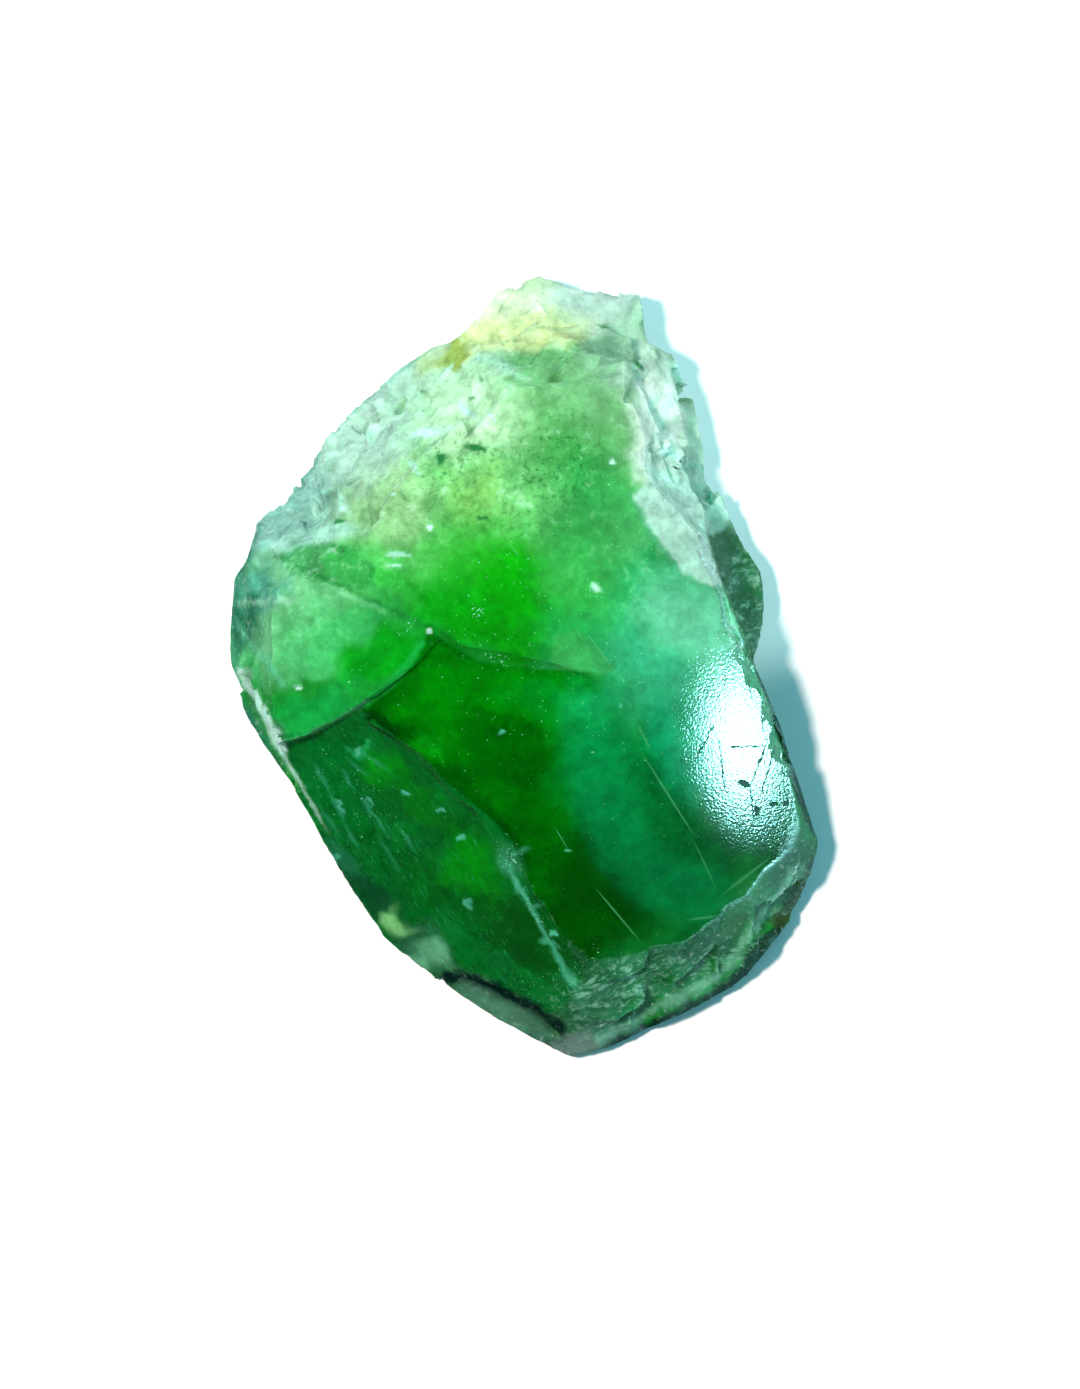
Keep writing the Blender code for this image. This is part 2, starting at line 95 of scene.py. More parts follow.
SLOPE_PLAN = [
    (-11.5, -3.5), (-14.9, -5.0), (-17.4, -4.4), (-18.2, -6.0), (-6.0, -22.0), (4.4, -26.0),
    (3.6, -20.0), (1.4, -16.8), (-1.2, -12.0), (-3.8, -9.9), (-6.8, -7.3),
]
BITE_PLAN = [
    (6.9, 10.8), (7.5, 9.4), (8.4, 8.1), (9.3, 6.8), (10.1, 5.9), (11.2, 5.3), (12.7, 5.0),
    (13.6, 6.0), (12.4, 10.4), (11.6, 13.0), (9.6, 13.4),
]
SHELF_PLAN = [
    (11.6, 8.4), (12.1, 6.6), (12.6, 4.9), (13.3, 3.0), (14.4, 0.4), (17.5, 0.0), (17.5, 6.0),
    (14.5, 9.6),
]
WEDGE_PLAN = [
    (-16.0, 7.4), (-12.6, 7.9), (-10.9, 7.5), (-9.6, 6.5), (-9.3, 5.0), (-11.4, 4.8), (-12.7, 5.0),
    (-14.2, 5.7), (-15.3, 6.4),
]
PALE_PATCH_PLAN = [(1.9, 1.9), (3.4, 2.4), (5.9, -0.2), (4.8, -0.9), (3.8, -0.6), (1.9, -0.2)]
# Plan of a facet under the lower right edge, painted dark olive as shade
SHADED_UNDERSIDE_PLAN = [
    (15.7, -16.3), (16.5, -15.1), (17.4, -13.9), (18.0, -12.8), (18.4, -12.1), (19.4, -12.3),
    (18.6, -14.2), (17.6, -16.0), (16.6, -17.0),
]
# Plan of the painted contact shadow under the lower right edge
CONTACT_SHADOW_PLAN = [
    (5.3, -24.2), (8.3, -22.5), (10.6, -21.5), (12.8, -20.3), (14.0, -19.0), (15.1, -17.3),
    (16.0, -16.6), (17.2, -16.4), (16.4, -18.6), (15.0, -20.6), (12.2, -22.8), (8.0, -24.6),
    (5.4, -25.4),
]
TALL_ENOUGH = 8.0

# Outline of the whole fragment as the camera sees it, at the height of its widest part. At the lower right it
# reaches out over the strip of contact shadow, which is painted on there.
OUTLINE = [
    (1.0, 25.1), (3.6, 24.1), (7.6, 23.9), (7.7, 21.1), (9.6, 19.7), (10.8, 17.1), (11.5, 13.5),
    (11.5, 11.7), (12.6, 11.0), (13.6, 8.4), (15.0, 6.2), (15.3, 4.4), (15.2, 2.4), (14.6, 0.3),
    (15.7, -2.2), (17.0, -5.8), (18.3, -9.7), (18.8, -11.4), (18.1, -13.7), (17.0, -16.1),
    (15.4, -18.3), (13.5, -20.4), (10.3, -22.1), (5.2, -24.4), (3.0, -25.0), (1.0, -24.0),
    (-2.8, -21.9), (-5.8, -19.8), (-8.9, -17.4), (-10.6, -14.8), (-12.9, -11.0), (-15.0, -7.2),
    (-16.8, -4.6), (-17.8, -3.0), (-18.2, -1.0), (-18.7, 0.2), (-18.7, 3.0), (-18.5, 5.7),
    (-17.7, 6.8), (-17.0, 9.4), (-15.3, 10.6), (-13.3, 13.3), (-12.8, 14.6), (-8.9, 18.3),
    (-6.1, 20.4), (-4.5, 20.9), (-2.8, 22.6), (-1.9, 23.8),
]
OUTLINE_MIDDLE = (0.5, -1.0)
OUTLINE_HEIGHT = 8.5
OUTLINE_STEPS = 720
OUTLINE_EASING = 6
FITTED_FROM = 0.74

SLOPE_AZIMUTH = 228.0
SLOPE_DIP = 48.0
DOME_TOP = (1.5, 4.0, 15.45)
DOME_RADII_ACROSS = (34.0, 19.0)
DOME_RADII_ALONG = (42.0, 46.0)
WINDOW_DROP = 1.0
WINDOW_FADES_FROM = -4.5
WINDOW_FADES_TO = 6.5
CROWN_REACH = (0.4, 0.7)
DOMED_FROM = 7.0

# Finer splinters on the broken faces
FINE_SPLINTERS = 200
SPLINTER_LENGTHS = (0.8, 2.4)
SPLINTER_WIDTHS = (0.4, 1.2)
SPLINTER_THICKNESS = 1.6
SPLINTER_SINK = (0.03, 0.10)
SPLINTER_TILT = 12.0
SPLINTER_SEED = 5
SPLINTERED = (-15.0, 18.5)

# Relief: name, texture, size along its own axes, azimuth, dip, strength, faces
RIM_ROUNDS = 60
ROUNDED_EDGES = [
    [(-15.4, 6.0), (-12.3, 9.2), (-8.6, 13.6), (-5.0, 17.4), (-1.5, 19.0), (6.5, 19.2), (7.6, 16.0)],
    [(4.2, -19.0), (8.6, -18.4), (11.0, -17.5), (12.9, -16.4), (14.4, -14.8), (15.6, -13.2), (17.0, -12.2)],
]
RELIEFS = [
    ("blocks", "VORONOI", (1.5, 0.7, 0.7), 47, 35, 0.08, "broken"),
    ("small blocks", "VORONOI", (0.55, 0.35, 0.3), -20, 55, 0.05, "broken"),
    ("waves", "CLOUDS", (2.2, 2.2, 2.2), 0, 0, 0.20, "broken"),
    ("ridges", "CLOUDS", (0.35, 5.0, 0.6), 28, 0, 0.035, "slope"),
]
SMOOTHER_ON_TOP = 0.85

REMESH_DEPTH = 9
REMESH_SCALE = 0.60
POLISH_ROUNDS = 50
TRIANGLES = 190000


# Shapes and places

def ramp(values, low, high):
    """0 below low and 1 above high, with a soft rise between them."""
    share = np.clip((values - low) / (high - low), 0.0, 1.0)
    return share * share * (3.0 - 2.0 * share)


def distance_to(points, spots):
    """How far each spot lies from a line of points, seen from above."""
    x, y = spots[:, 0], spots[:, 1]
    nearest = np.full(len(x), np.inf)
    for (ax, ay), (bx, by) in zip(points, points[1:]):
        dx, dy = bx - ax, by - ay
        along = np.clip(((x - ax) * dx + (y - ay) * dy) / (dx * dx + dy * dy), 0.0, 1.0)
        nearest = np.minimum(nearest, np.hypot(x - ax - along * dx, y - ay - along * dy))
    return nearest


def depth_inside(plan, spots):
    """How far each spot lies inside a plan's outline, and below zero outside it."""
    x, y = spots[:, 0], spots[:, 1]
    inside = np.zeros(len(x), bool)
    for (ax, ay), (bx, by) in zip(plan, plan[1:] + plan[:1]):
        if by != ay:
            inside ^= ((ay > y) != (by > y)) & (x < ax + (y - ay) * (bx - ax) / (by - ay))
    nearest = distance_to(plan + plan[:1], spots)
    return np.where(inside, nearest, -nearest)


def face_normal(azimuth, dip):
    az, tilt = math.radians(azimuth), math.radians(dip)
    return np.array((math.sin(tilt) * math.cos(az), math.sin(tilt) * math.sin(az), math.cos(tilt)))


def slope_share(spots, facing):
    """1 on the long cleavage face at the lower left."""
    on_face = ramp(facing @ face_normal(SLOPE_AZIMUTH, SLOPE_DIP), 0.94, 0.965)
    return on_face * ramp(depth_inside(SLOPE_PLAN, spots), -1.6, -1.2)


def dome_height(spots):
    """Height of the crown's low dome."""
    across, along = spots[:, 0] - DOME_TOP[0], spots[:, 1] - DOME_TOP[1]
    height = DOME_TOP[2] - across**2 / (2 * np.where(across > 0, *reversed(DOME_RADII_ACROSS)))
    return height - along**2 / (2 * np.where(along > 0, *reversed(DOME_RADII_ALONG)))


def window_height(spots):
    """Height of the crown where it is let down beside the flake."""
    return dome_height(spots) - WINDOW_DROP * ramp(-spots[:, 0], -WINDOW_FADES_TO, -WINDOW_FADES_FROM)


def polished_share(spots, facing):
    """1 on the smooth cleavage faces, 0 on the broken ones."""
    depth = depth_inside(CROWN_PLAN, spots)
    crown = ramp(depth, 0.0, 0.6) * np.maximum(ramp(facing[:, 2], 0.70, 0.77), ramp(depth, 1.8, 2.6))
    base = ramp(-facing[:, 2], 0.94, 0.98)
    return np.maximum(np.maximum(crown, slope_share(spots, facing)), base)


# Modelling

def only(piece):
    """Selects one object and makes it the active one."""
    bpy.ops.object.select_all(action="DESELECT")
    piece.select_set(True)
    bpy.context.view_layer.objects.active = piece


def apply_modifiers(piece):
    only(piece)
    for modifier in list(piece.modifiers):
        bpy.ops.object.modifier_apply(modifier=modifier.name)


def spots_of(mesh):
    spots = np.empty(len(mesh.vertices) * 3)
    mesh.vertices.foreach_get("co", spots)
    return spots.reshape(-1, 3)


def normals_of(mesh):
    facing = np.empty(len(mesh.vertices) * 3)
    mesh.vertex_normals.foreach_get("vector", facing)
    return facing.reshape(-1, 3)


def eroded(mesh, share, rounds):
    """The share drawn in from its edges, by one ring of vertices each round."""
    edges = np.empty(len(mesh.edges) * 2, int)
    mesh.edges.foreach_get("vertices", edges)
    first, second = edges.reshape(-1, 2).T
    for _round in range(rounds):
        lowest = share.copy()
        np.minimum.at(lowest, first, share[second])
        np.minimum.at(lowest, second, share[first])
        share = lowest
    return share


def weigh(piece, name, share):
    """Writes a share as a vertex group, in twenty steps."""
    group = piece.vertex_groups.new(name=name)
    steps = np.round(share * 20).astype(int)
    for step in range(1, 21):
        group.add([int(i) for i in np.nonzero(steps == step)[0]], step / 20, "REPLACE")


def copy_of_solid():
    """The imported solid's own shape, in millimetres, with its loose triangles joined."""
    body = bpy.data.objects.new("crystal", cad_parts[NODE].data.copy())
    bpy.context.scene.collection.objects.link(body)
    body.data.materials.clear()
    only(body)
    body.scale = (1 / MM, 1 / MM, 1 / MM)
    bpy.ops.object.transform_apply(location=False, rotation=False, scale=True)
    bpy.ops.object.mode_set(mode="EDIT")
    bpy.ops.mesh.select_all(action="SELECT")
    bpy.ops.mesh.remove_doubles(threshold=0.0005)
    bpy.ops.mesh.customdata_custom_splitnormals_clear()
    bpy.ops.object.mode_set(mode="OBJECT")
    return body


def splinter_block():
    """One slanted block, its flat side on the XY plane and 1 mm long, wide and thick."""
    bpy.ops.mesh.primitive_cube_add(size=1.0, location=(0.0, 0.0, 0.5))
    block = bpy.context.active_object
    bpy.ops.object.transform_apply(location=True, rotation=False, scale=False)
    for vert in block.data.vertices:
        vert.select = vert.co.z > 0.5
    bpy.ops.object.mode_set(mode="EDIT")
    bpy.ops.transform.resize(value=(1.5, 1.5, 1.0))
    bpy.ops.object.mode_set(mode="OBJECT")
    for vert in block.data.vertices:
        vert.co.x += 0.58 * vert.co.y
    return block


def cut_fine_splinters(body):
    """Sinks many small blocks a little way into the broken faces, and cuts them out."""
    dice = random.Random(SPLINTER_SEED)
    mesh = body.data
    centres = np.array([face.center for face in mesh.polygons])
    facing = np.array([face.normal for face in mesh.polygons])
    areas = np.array([face.area for face in mesh.polygons])
    areas *= 1.0 - polished_share(centres, facing)
    areas *= facing[:, 2] > -0.5
    areas *= 1.0 - SMOOTHER_ON_TOP * ramp(facing[:, 2], 0.5, 0.8)
    areas *= (centres[:, 1] > SPLINTERED[0]) & (centres[:, 1] < SPLINTERED[1])
    areas *= ramp(-depth_inside(CROWN_PLAN, centres), 0.4, 1.2)
    areas *= ramp(-depth_inside(SLOPE_PLAN, centres), 0.0, 0.5)
    picked = dice.choices(range(len(areas)), weights=areas.tolist(), k=FINE_SPLINTERS)
    block = splinter_block()
    blocks = []
    for index in picked:
        face = mesh.polygons[index]
        corners = [mesh.vertices[i].co for i in face.vertices]
        parts = sorted((0.0, dice.random(), dice.random(), 1.0))
        spot = sum((c * (b - a) for c, a, b in zip(corners, parts, parts[1:])), Vector())
        normal = face.normal
        strike = Vector((-normal.y, normal.x, 0.0)).normalized()
        turn = Matrix((strike, normal.cross(strike), normal)).transposed()
        lean = Euler((
            math.radians(dice.uniform(-SPLINTER_TILT, SPLINTER_TILT)),
            math.radians(dice.uniform(-SPLINTER_TILT, SPLINTER_TILT)),
            math.radians(dice.choice((-60, 0, 0, 60)) + dice.uniform(-12, 12)),
        )).to_matrix()
        size = (dice.uniform(*SPLINTER_LENGTHS), dice.uniform(*SPLINTER_WIDTHS), SPLINTER_THICKNESS)
        copy = block.copy()
        copy.data = block.data.copy()
        bpy.context.scene.collection.objects.link(copy)
        place = Matrix.Translation(spot - normal * dice.uniform(*SPLINTER_SINK))
        copy.matrix_world = place @ (turn @ lean).to_4x4() @ Matrix.Diagonal((*size, 1.0))
        blocks.append(copy)
    bpy.data.objects.remove(block)
    bpy.ops.object.select_all(action="DESELECT")
    for copy in blocks:
        copy.select_set(True)
    bpy.context.view_layer.objects.active = blocks[0]
    bpy.ops.object.join()
    bpy.ops.object.transform_apply(location=True, rotation=True, scale=True)
    cutter = bpy.context.active_object
    cut = body.modifiers.new("Splinters", "BOOLEAN")
    cut.operation = "DIFFERENCE"
    cut.use_self = True
    cut.object = cutter
    apply_modifiers(body)
    bpy.data.objects.remove(cutter)


def remesh(body):
    """One closed skin of small even faces that keeps the sharp edges."""
    skin = body.modifiers.new("Skin", "REMESH")
    skin.mode = "SHARP"
    skin.octree_depth = REMESH_DEPTH
    skin.scale = REMESH_SCALE
    skin.use_remove_disconnected = True
    apply_modifiers(body)


def let_down(body):
    """Lets the crown down as far as the ridge beside the flake."""
    spots = spots_of(body.data)
    share = ramp(depth_inside(STEP_PLAN, spots), -0.1, 0.6) * (spots[:, 2] > TALL_ENOUGH)
    spots[:, 2] -= share * np.maximum(spots[:, 2] - window_height(spots), 0.0)
    body.data.vertices.foreach_set("co", spots.ravel())
    body.data.update()


def round_out(body):
    """Brings the crown to its dome: all of it on the right, and what is close to it on the left."""
    spots = spots_of(body.data)
    on_right = (spots[:, 0] > DOMED_FROM) & (spots[:, 2] > OUTLINE_HEIGHT / 2)
    inside, below_step = depth_inside(CROWN_PLAN, spots), depth_inside(STEP_PLAN, spots)
    off = np.where(below_step > 0.3, window_height(spots), dome_height(spots)) - spots[:, 2]
    near = ramp(-np.abs(off), -CROWN_REACH[1], -CROWN_REACH[0])
    near *= np.maximum(ramp(-below_step, 0.1, 0.4), ramp(below_step, 0.6, 0.9))
    share = np.where(on_right, ramp(inside, 0.1, 0.6), near * ramp(inside, 0.0, 1.6))
    share[on_right & (spots[:, 1] < 0.0) & (off < 0.0)] = 1.0
    spots[:, 2] += share * off
    body.data.vertices.foreach_set("co", spots.ravel())
    body.data.update()


def outline_radius(angles):
    """How far the planned outline lies from its middle in each direction."""
    corners = np.array(OUTLINE + OUTLINE[:1]) - OUTLINE_MIDDLE
    along = np.linspace(0.0, 1.0, 40, endpoint=False)[:, None]
    edge = np.concatenate([start + along * (end - start) for start, end in zip(corners, corners[1:])])
    directions = np.arctan2(edge[:, 1], edge[:, 0])
    return np.interp(angles, directions, np.hypot(edge[:, 0], edge[:, 1]), period=2 * math.pi)


def fit_outline(body):
    """Draws the sides out or in until the fragment has its planned outline, as the camera sees it."""
    spots = spots_of(body.data)
    eye = np.array(CAMERA_AT) / MM
    nearer = (eye[2] - OUTLINE_HEIGHT) / (eye[2] - spots[:, 2:])
    seen = eye[:2] + (spots[:, :2] - eye[:2]) * nearer - OUTLINE_MIDDLE
    angle, radius = np.arctan2(seen[:, 1], seen[:, 0]), np.hypot(seen[:, 0], seen[:, 1])
    steps = (np.arange(OUTLINE_STEPS) + 0.5) / OUTLINE_STEPS * 2 * math.pi - math.pi
    farthest = np.zeros(OUTLINE_STEPS)
    own_step = ((angle / (2 * math.pi) + 0.5) * OUTLINE_STEPS).astype(int) % OUTLINE_STEPS
    np.maximum.at(farthest, own_step, radius)
    gain = outline_radius(steps) - farthest
    for _round in range(OUTLINE_EASING):
        gain = (np.roll(gain, 1) + 2 * gain + np.roll(gain, -1)) / 4
    share = ramp(radius / np.interp(angle, steps, farthest, period=2 * math.pi), FITTED_FROM, 1.0)
    share *= np.interp(angle, steps, gain, period=2 * math.pi)
    spots[:, :2] += (share / radius)[:, None] * seen
    body.data.vertices.foreach_set("co", spots.ravel())
    body.data.update()


def soften(body):
    """Rounds off the broken rims where they face up, and the crown's softer edges."""
    spots, facing = spots_of(body.data), normals_of(body.data)
    rims = 1.0 - polished_share(spots, facing)
    for points in ROUNDED_EDGES:
        rims = np.maximum(rims, 1.0 - ramp(distance_to(points, spots), 0.5, 1.5))
    weigh(body, "rims", rims * ramp(facing[:, 2], 0.1, 0.5))
    smooth = body.modifiers.new("Rims", "SMOOTH")
    smooth.factor = 0.5
    smooth.iterations = RIM_ROUNDS
    smooth.vertex_group = "rims"
    apply_modifiers(body)


def polish(body):
    """Smooths the cleavage faces and leaves the steps between them sharp."""
    spots, facing = spots_of(body.data), normals_of(body.data)
    even = np.maximum(ramp(facing[:, 2], 0.70, 0.77), slope_share(spots, facing))
    even = np.maximum(even, ramp(-facing[:, 2], 0.94, 0.98))
    weigh(body, "polished", eroded(body.data, polished_share(spots, facing) * even, 2))
    smooth = body.modifiers.new("Polish", "SMOOTH")
    smooth.factor = 0.5
    smooth.iterations = POLISH_ROUNDS
    smooth.vertex_group = "polished"
    apply_modifiers(body)


def guide(size, azimuth, dip):
    """An empty whose own axes lie along a cleavage direction, for a texture to follow."""
    holder = bpy.data.objects.new("guide", None)
    bpy.context.scene.collection.objects.link(holder)
    holder.rotation_euler = (math.radians(dip), 0.0, math.radians(azimuth))
    holder.scale = size
    bpy.context.view_layer.update()
    return holder


def roughen(body):
    """Breaks the rims into small blocks and grains, and draws fine ridges down the slope."""
    spots, facing = spots_of(body.data), normals_of(body.data)
    top = 1.0 - SMOOTHER_ON_TOP * ramp(facing[:, 2], 0.5, 0.8)
    weigh(body, "broken", (1.0 - polished_share(spots, facing)) * top)
    weigh(body, "slope", eroded(body.data, slope_share(spots, facing), 3))
    guides = []
    for name, kind, size, azimuth, dip, strength, faces in RELIEFS:
        texture = bpy.data.textures.new(name, kind)
        texture.noise_scale = 1.0
        if kind == "VORONOI":
            texture.color_mode = "POSITION"
            texture.distance_metric = "MANHATTAN"
        guides.append(guide(size, azimuth, dip))
        relief = body.modifiers.new(name, "DISPLACE")
        relief.texture = texture
        relief.texture_coords = "OBJECT"
        relief.texture_coords_object = guides[-1]
        relief.vertex_group = faces
        relief.strength = strength
        relief.mid_level = 0.6
    apply_modifiers(body)
    for holder in guides:
        bpy.data.objects.remove(holder)


def thin_out(body):
    """Takes out triangles on the broken faces and the base, and keeps the painted faces fine."""
    bpy.context.view_layer.update()
    spots, facing = spots_of(body.data), normals_of(body.data)
    weigh(body, "thinned", 1.0 - polished_share(spots, facing) * (facing[:, 2] > 0.0))
    count = sum(len(face.vertices) - 2 for face in body.data.polygons)
    fewer = body.modifiers.new("Fewer", "DECIMATE")
    fewer.vertex_group = "thinned"
    fewer.ratio = min(1.0, TRIANGLES / count)
    apply_modifiers(body)


def take_out_inner_faces(body):
    """Removes faces that lie inside the fragment, where two of its surfaces touch."""
    only(body)
    bpy.ops.object.mode_set(mode="EDIT")
    bpy.ops.mesh.select_mode(type="FACE")
    bpy.ops.mesh.select_all(action="DESELECT")
    bpy.ops.mesh.select_interior_faces()
    bpy.ops.mesh.delete(type="FACE")
    bpy.ops.object.mode_set(mode="OBJECT")


def bring_to_size(body):
    """Fits the fragment in the solid's box, in metres, with its place in its mesh."""
    spots = spots_of(body.data)
    low, high = np.array(CAD_BOX[0]), np.array(CAD_BOX[1])
    now_low, now_high = spots.min(axis=0), spots.max(axis=0)
    spots = low + (spots - now_low) * (high - low) / (now_high - now_low)
    body.data.vertices.foreach_set("co", spots.ravel())
    body.data.update()


def crystal():
    body = copy_of_solid()
    cut_fine_splinters(body)
    remesh(body)
    let_down(body)
    fit_outline(body)
    round_out(body)
    polish(body)
    soften(body)
    roughen(body)
    thin_out(body)
    take_out_inner_faces(body)
    bring_to_size(body)
    only(body)
    bpy.ops.object.shade_smooth_by_angle(angle=math.radians(32))
    body.vertex_groups.clear()
    return body


# Colours that are kept with the mesh

# Clouds of colour: name, centre, half length and width, turn in degrees, softness, strength, colour
CROWN_GROUND = (24, 150, 50)
CROWN_CLOUDS = [
    ("teal on the right", (7.4, 1.7), (9.0, 7.0), -60, 0.6, 0.9, (52, 180, 108)),
    ("bright teal under the bite", (10.9, 3.0), (3.4, 2.8), -60, 0.6, 0.9, (116, 210, 168)),
    ("teal beside the highlight", (8.6, -0.8), (3.4, 2.0), -50, 0.6, 0.7, (66, 194, 148)),
    ("lower right", (9.6, -9.4), (6.6, 7.4), -30, 0.5, 0.95, (1, 90, 36)),
    ("lower teal", (6.4, -6.4), (5.0, 3.4), -40, 0.6, 0.9, (4, 144, 64)),
    ("dark lower green", (2.6, -15.0), (7.5, 4.4), 14, 0.4, 0.95, (1, 75, 2)),
    ("dark between the teals", (8.9, -8.6), (2.6, 1.5), -60, 0.7, 0.8, (1, 94, 34)),
    # Painted highlight: the teal glow at the fringe of the glossy face's highlight
    ("painted glow at the highlight's fringe", (9.8, -5.0), (1.5, 3.2), 12, 0.8, 0.85, (12, 160, 106)),
    ("pale green beside the bite", (6.1, 8.0), (1.6, 1.6), -40, 0.7, 0.7, (100, 182, 116)),
    ("milky upper right", (4.6, 16.6), (6.6, 5.2), -50, 0.6, 0.95, (124, 184, 126)),
    ("grey upper right", (6.4, 19.6), (3.0, 1.8), -30, 0.6, 0.9, (140, 178, 150)),
    ("green with dark specks", (2.4, 12.2), (3.4, 3.4), 0, 0.6, 0.85, (42, 156, 60)),
    ("green beside the specks", (4.6, 9.8), (3.0, 3.0), -50, 0.6, 0.8, (58, 166, 84)),
    ("milky rim", (-9.6, 14.6), (12.5, 3.9), 47, 0.4, 0.98, (194, 221, 207)),
    ("blue rim on the left", (-15.0, 9.4), (4.4, 3.0), 56, 0.5, 0.9, (139, 190, 180)),
    ("haze under the rim", (-11.1, 10.4), (1.9, 1.2), 45, 0.6, 0.8, (118, 152, 124)),
    ("bright cloud", (-2.8, 12.0), (4.2, 5.6), 10, 0.7, 0.85, (130, 206, 128)),
    ("low cloud", (-5.4, 8.2), (5.2, 3.0), 0, 0.6, 0.9, (98, 188, 96)),
    ("left cloud", (-8.4, 10.4), (3.2, 2.2), 30, 0.6, 0.8, (164, 210, 150)),
    ("white green under the rim", (-3.4, 16.4), (3.0, 2.6), 0, 0.6, 0.9, (200, 236, 192)),
    ("yellow-green cloud", (-2.7, 11.0), (1.6, 1.8), 0, 0.7, 0.5, (150, 206, 100)),
    ("green under the rim", (-11.2, 6.0), (5.4, 2.0), 0, 0.6, 0.9, (84, 192, 96)),
    ("vivid centre", (-0.9, 4.9), (5.0, 3.5), -6, 0.6, 0.98, (9, 166, 4)),
    ("vivid left", (-5.4, 4.2), (3.0, 1.6), -20, 0.6, 0.9, (11, 156, 18)),
    ("green above the flake", (-8.0, 4.9), (1.4, 0.7), -20, 0.6, 0.7, (52, 190, 66)),
    ("vivid low", (-1.6, 2.0), (3.6, 1.2), -20, 0.6, 0.9, (9, 138, 5)),
    ("green beside the centre", (3.6, 6.4), (2.6, 2.8), 0, 0.6, 0.7, (64, 172, 82)),
    ("pale left of the flake", (-15.2, 3.2), (3.6, 3.4), 0, 0.6, 0.95, (130, 200, 146)),
    ("middle of the flake", (-11.8, 1.6), (3.6, 2.6), 0, 0.6, 0.9, (70, 190, 106)),
    ("vivid flake", (-9.2, 0.6), (3.0, 1.7), 32, 0.4, 0.95, (2, 150, 12)),
    ("dark spot on the flake", (-13.2, -1.3), (1.2, 0.8), 20, 0.5, 0.8, (16, 140, 30)),
    ("low flake", (-13.4, -3.0), (3.0, 1.3), 28, 0.5, 0.9, (20, 156, 68)),
    # Painted shade on the small bevel at the left margin, darkest at its middle
    ("shaded blue facets of the left bevel", (-17.0, 4.9), (1.6, 1.8), 20, 0.4, 0.8, (69, 162, 140)),
    ("painted shade of the left bevel", (-17.6, 2.9), (1.1, 1.6), 10, 0.5, 0.9, (22, 112, 84)),
    ("green left edge", (-17.6, -0.2), (0.9, 1.6), 0, 0.5, 0.9, (70, 180, 106)),
    ("cream top", (-1.0, 23.4), (3.4, 2.4), 10, 0.5, 0.98, (224, 232, 198)),
    ("edge of the cream top", (0.4, 24.9), (3.4, 1.0), 0, 0.6, 0.9, (162, 184, 148)),
    ("aqua top", (4.9, 23.4), (3.6, 1.8), -5, 0.5, 0.95, (184, 204, 194)),
    ("violet edge", (4.6, 20.7), (2.6, 0.7), -24, 0.6, 0.8, (98, 140, 110)),
    ("yellow band", (-0.6, 21.0), (4.6, 0.9), 12, 0.6, 0.9, (216, 222, 156)),
    ("pale end of the olive", (-6.4, 20.0), (1.2, 0.8), 30, 0.6, 0.8, (184, 200, 154)),
    ("olive patch", (-4.8, 19.9), (1.6, 0.8), 26, 0.5, 0.95, (158, 172, 70)),
    ("white right band", (9.0, 15.0), (2.0, 5.8), 12, 0.5, 0.95, (226, 240, 229)),
    ("right sliver", (11.0, 14.4), (0.6, 3.4), -4, 0.5, 0.9, (196, 222, 200)),
    ("pale shelf end", (12.6, 9.8), (1.8, 1.2), 0, 0.3, 0.9, (214, 244, 230)),
]
BELOW_STEP_GROUND = (1, 124, 3)
BELOW_STEP_CLOUDS = [
    ("green right of the tongue", (1.4, -2.2), (2.4, 1.2), -15, 0.6, 0.9, (1, 130, 28)),
    ("teal of the smooth part", (5.2, -2.8), (2.6, 2.0), -20, 0.6, 0.9, (19, 170, 96)),
    ("light teal", (8.2, -1.8), (2.6, 1.8), -20, 0.6, 0.9, (34, 180, 126)),
    ("lower teal", (6.2, -7.0), (3.6, 4.2), 0, 0.6, 0.9, (4, 144, 64)),
    ("lower right", (9.6, -9.8), (5.5, 5.6), -30, 0.5, 0.95, (1, 92, 36)),
    ("dark lower green", (2.6, -14.8), (6.8, 4.6), 14, 0.4, 0.95, (1, 77, 1)),
]
# The window's green, darkened with painted shade where the let-down face looks deep into the stone
WINDOW_GROUND = (0, 98, 0)
WINDOW_CLOUDS = [
    ("dark left corner", (-9.6, -3.9), (1.8, 1.2), -38, 0.5, 0.9, (0, 52, 0)),
    ("bright window top", (-5.8, -2.9), (2.6, 1.0), -10, 0.6, 0.8, (1, 128, 1)),
    ("sparkling middle", (-6.0, -5.2), (1.7, 1.3), 0, 0.7, 0.9, (2, 128, 2)),
    ("dark window", (-4.4, -7.0), (1.8, 1.0), -40, 0.6, 0.8, (0, 82, 0)),
    ("lower light", (-2.4, -8.8), (1.6, 1.2), -30, 0.7, 0.6, (2, 112, 2)),
    ("dark lower edge", (-2.0, -10.4), (3.0, 0.8), -42, 0.6, 0.8, (0, 72, 0)),
]
SLOPE_GROUND = (2, 110, 32)
SLOPE_CLOUDS = [
    ("teal top", (-13.2, -7.2), (3.0, 2.4), -55, 0.6, 0.8, (4, 128, 46)),
    ("right green", (-6.6, -8.9), (4.4, 1.2), -38, 0.5, 0.9, (1, 118, 10)),
    ("vivid green", (-2.9, -13.2), (2.6, 1.7), -35, 0.5, 0.95, (0, 138, 1)),
    ("vivid top", (-9.0, -6.3), (1.5, 0.9), -34, 0.6, 0.8, (1, 164, 16)),
    ("dark middle", (-5.8, -14.0), (2.6, 1.2), -45, 0.6, 0.8, (0, 102, 12)),
    ("low green", (0.2, -17.6), (3.6, 2.2), -50, 0.5, 0.95, (0, 86, 1)),
]
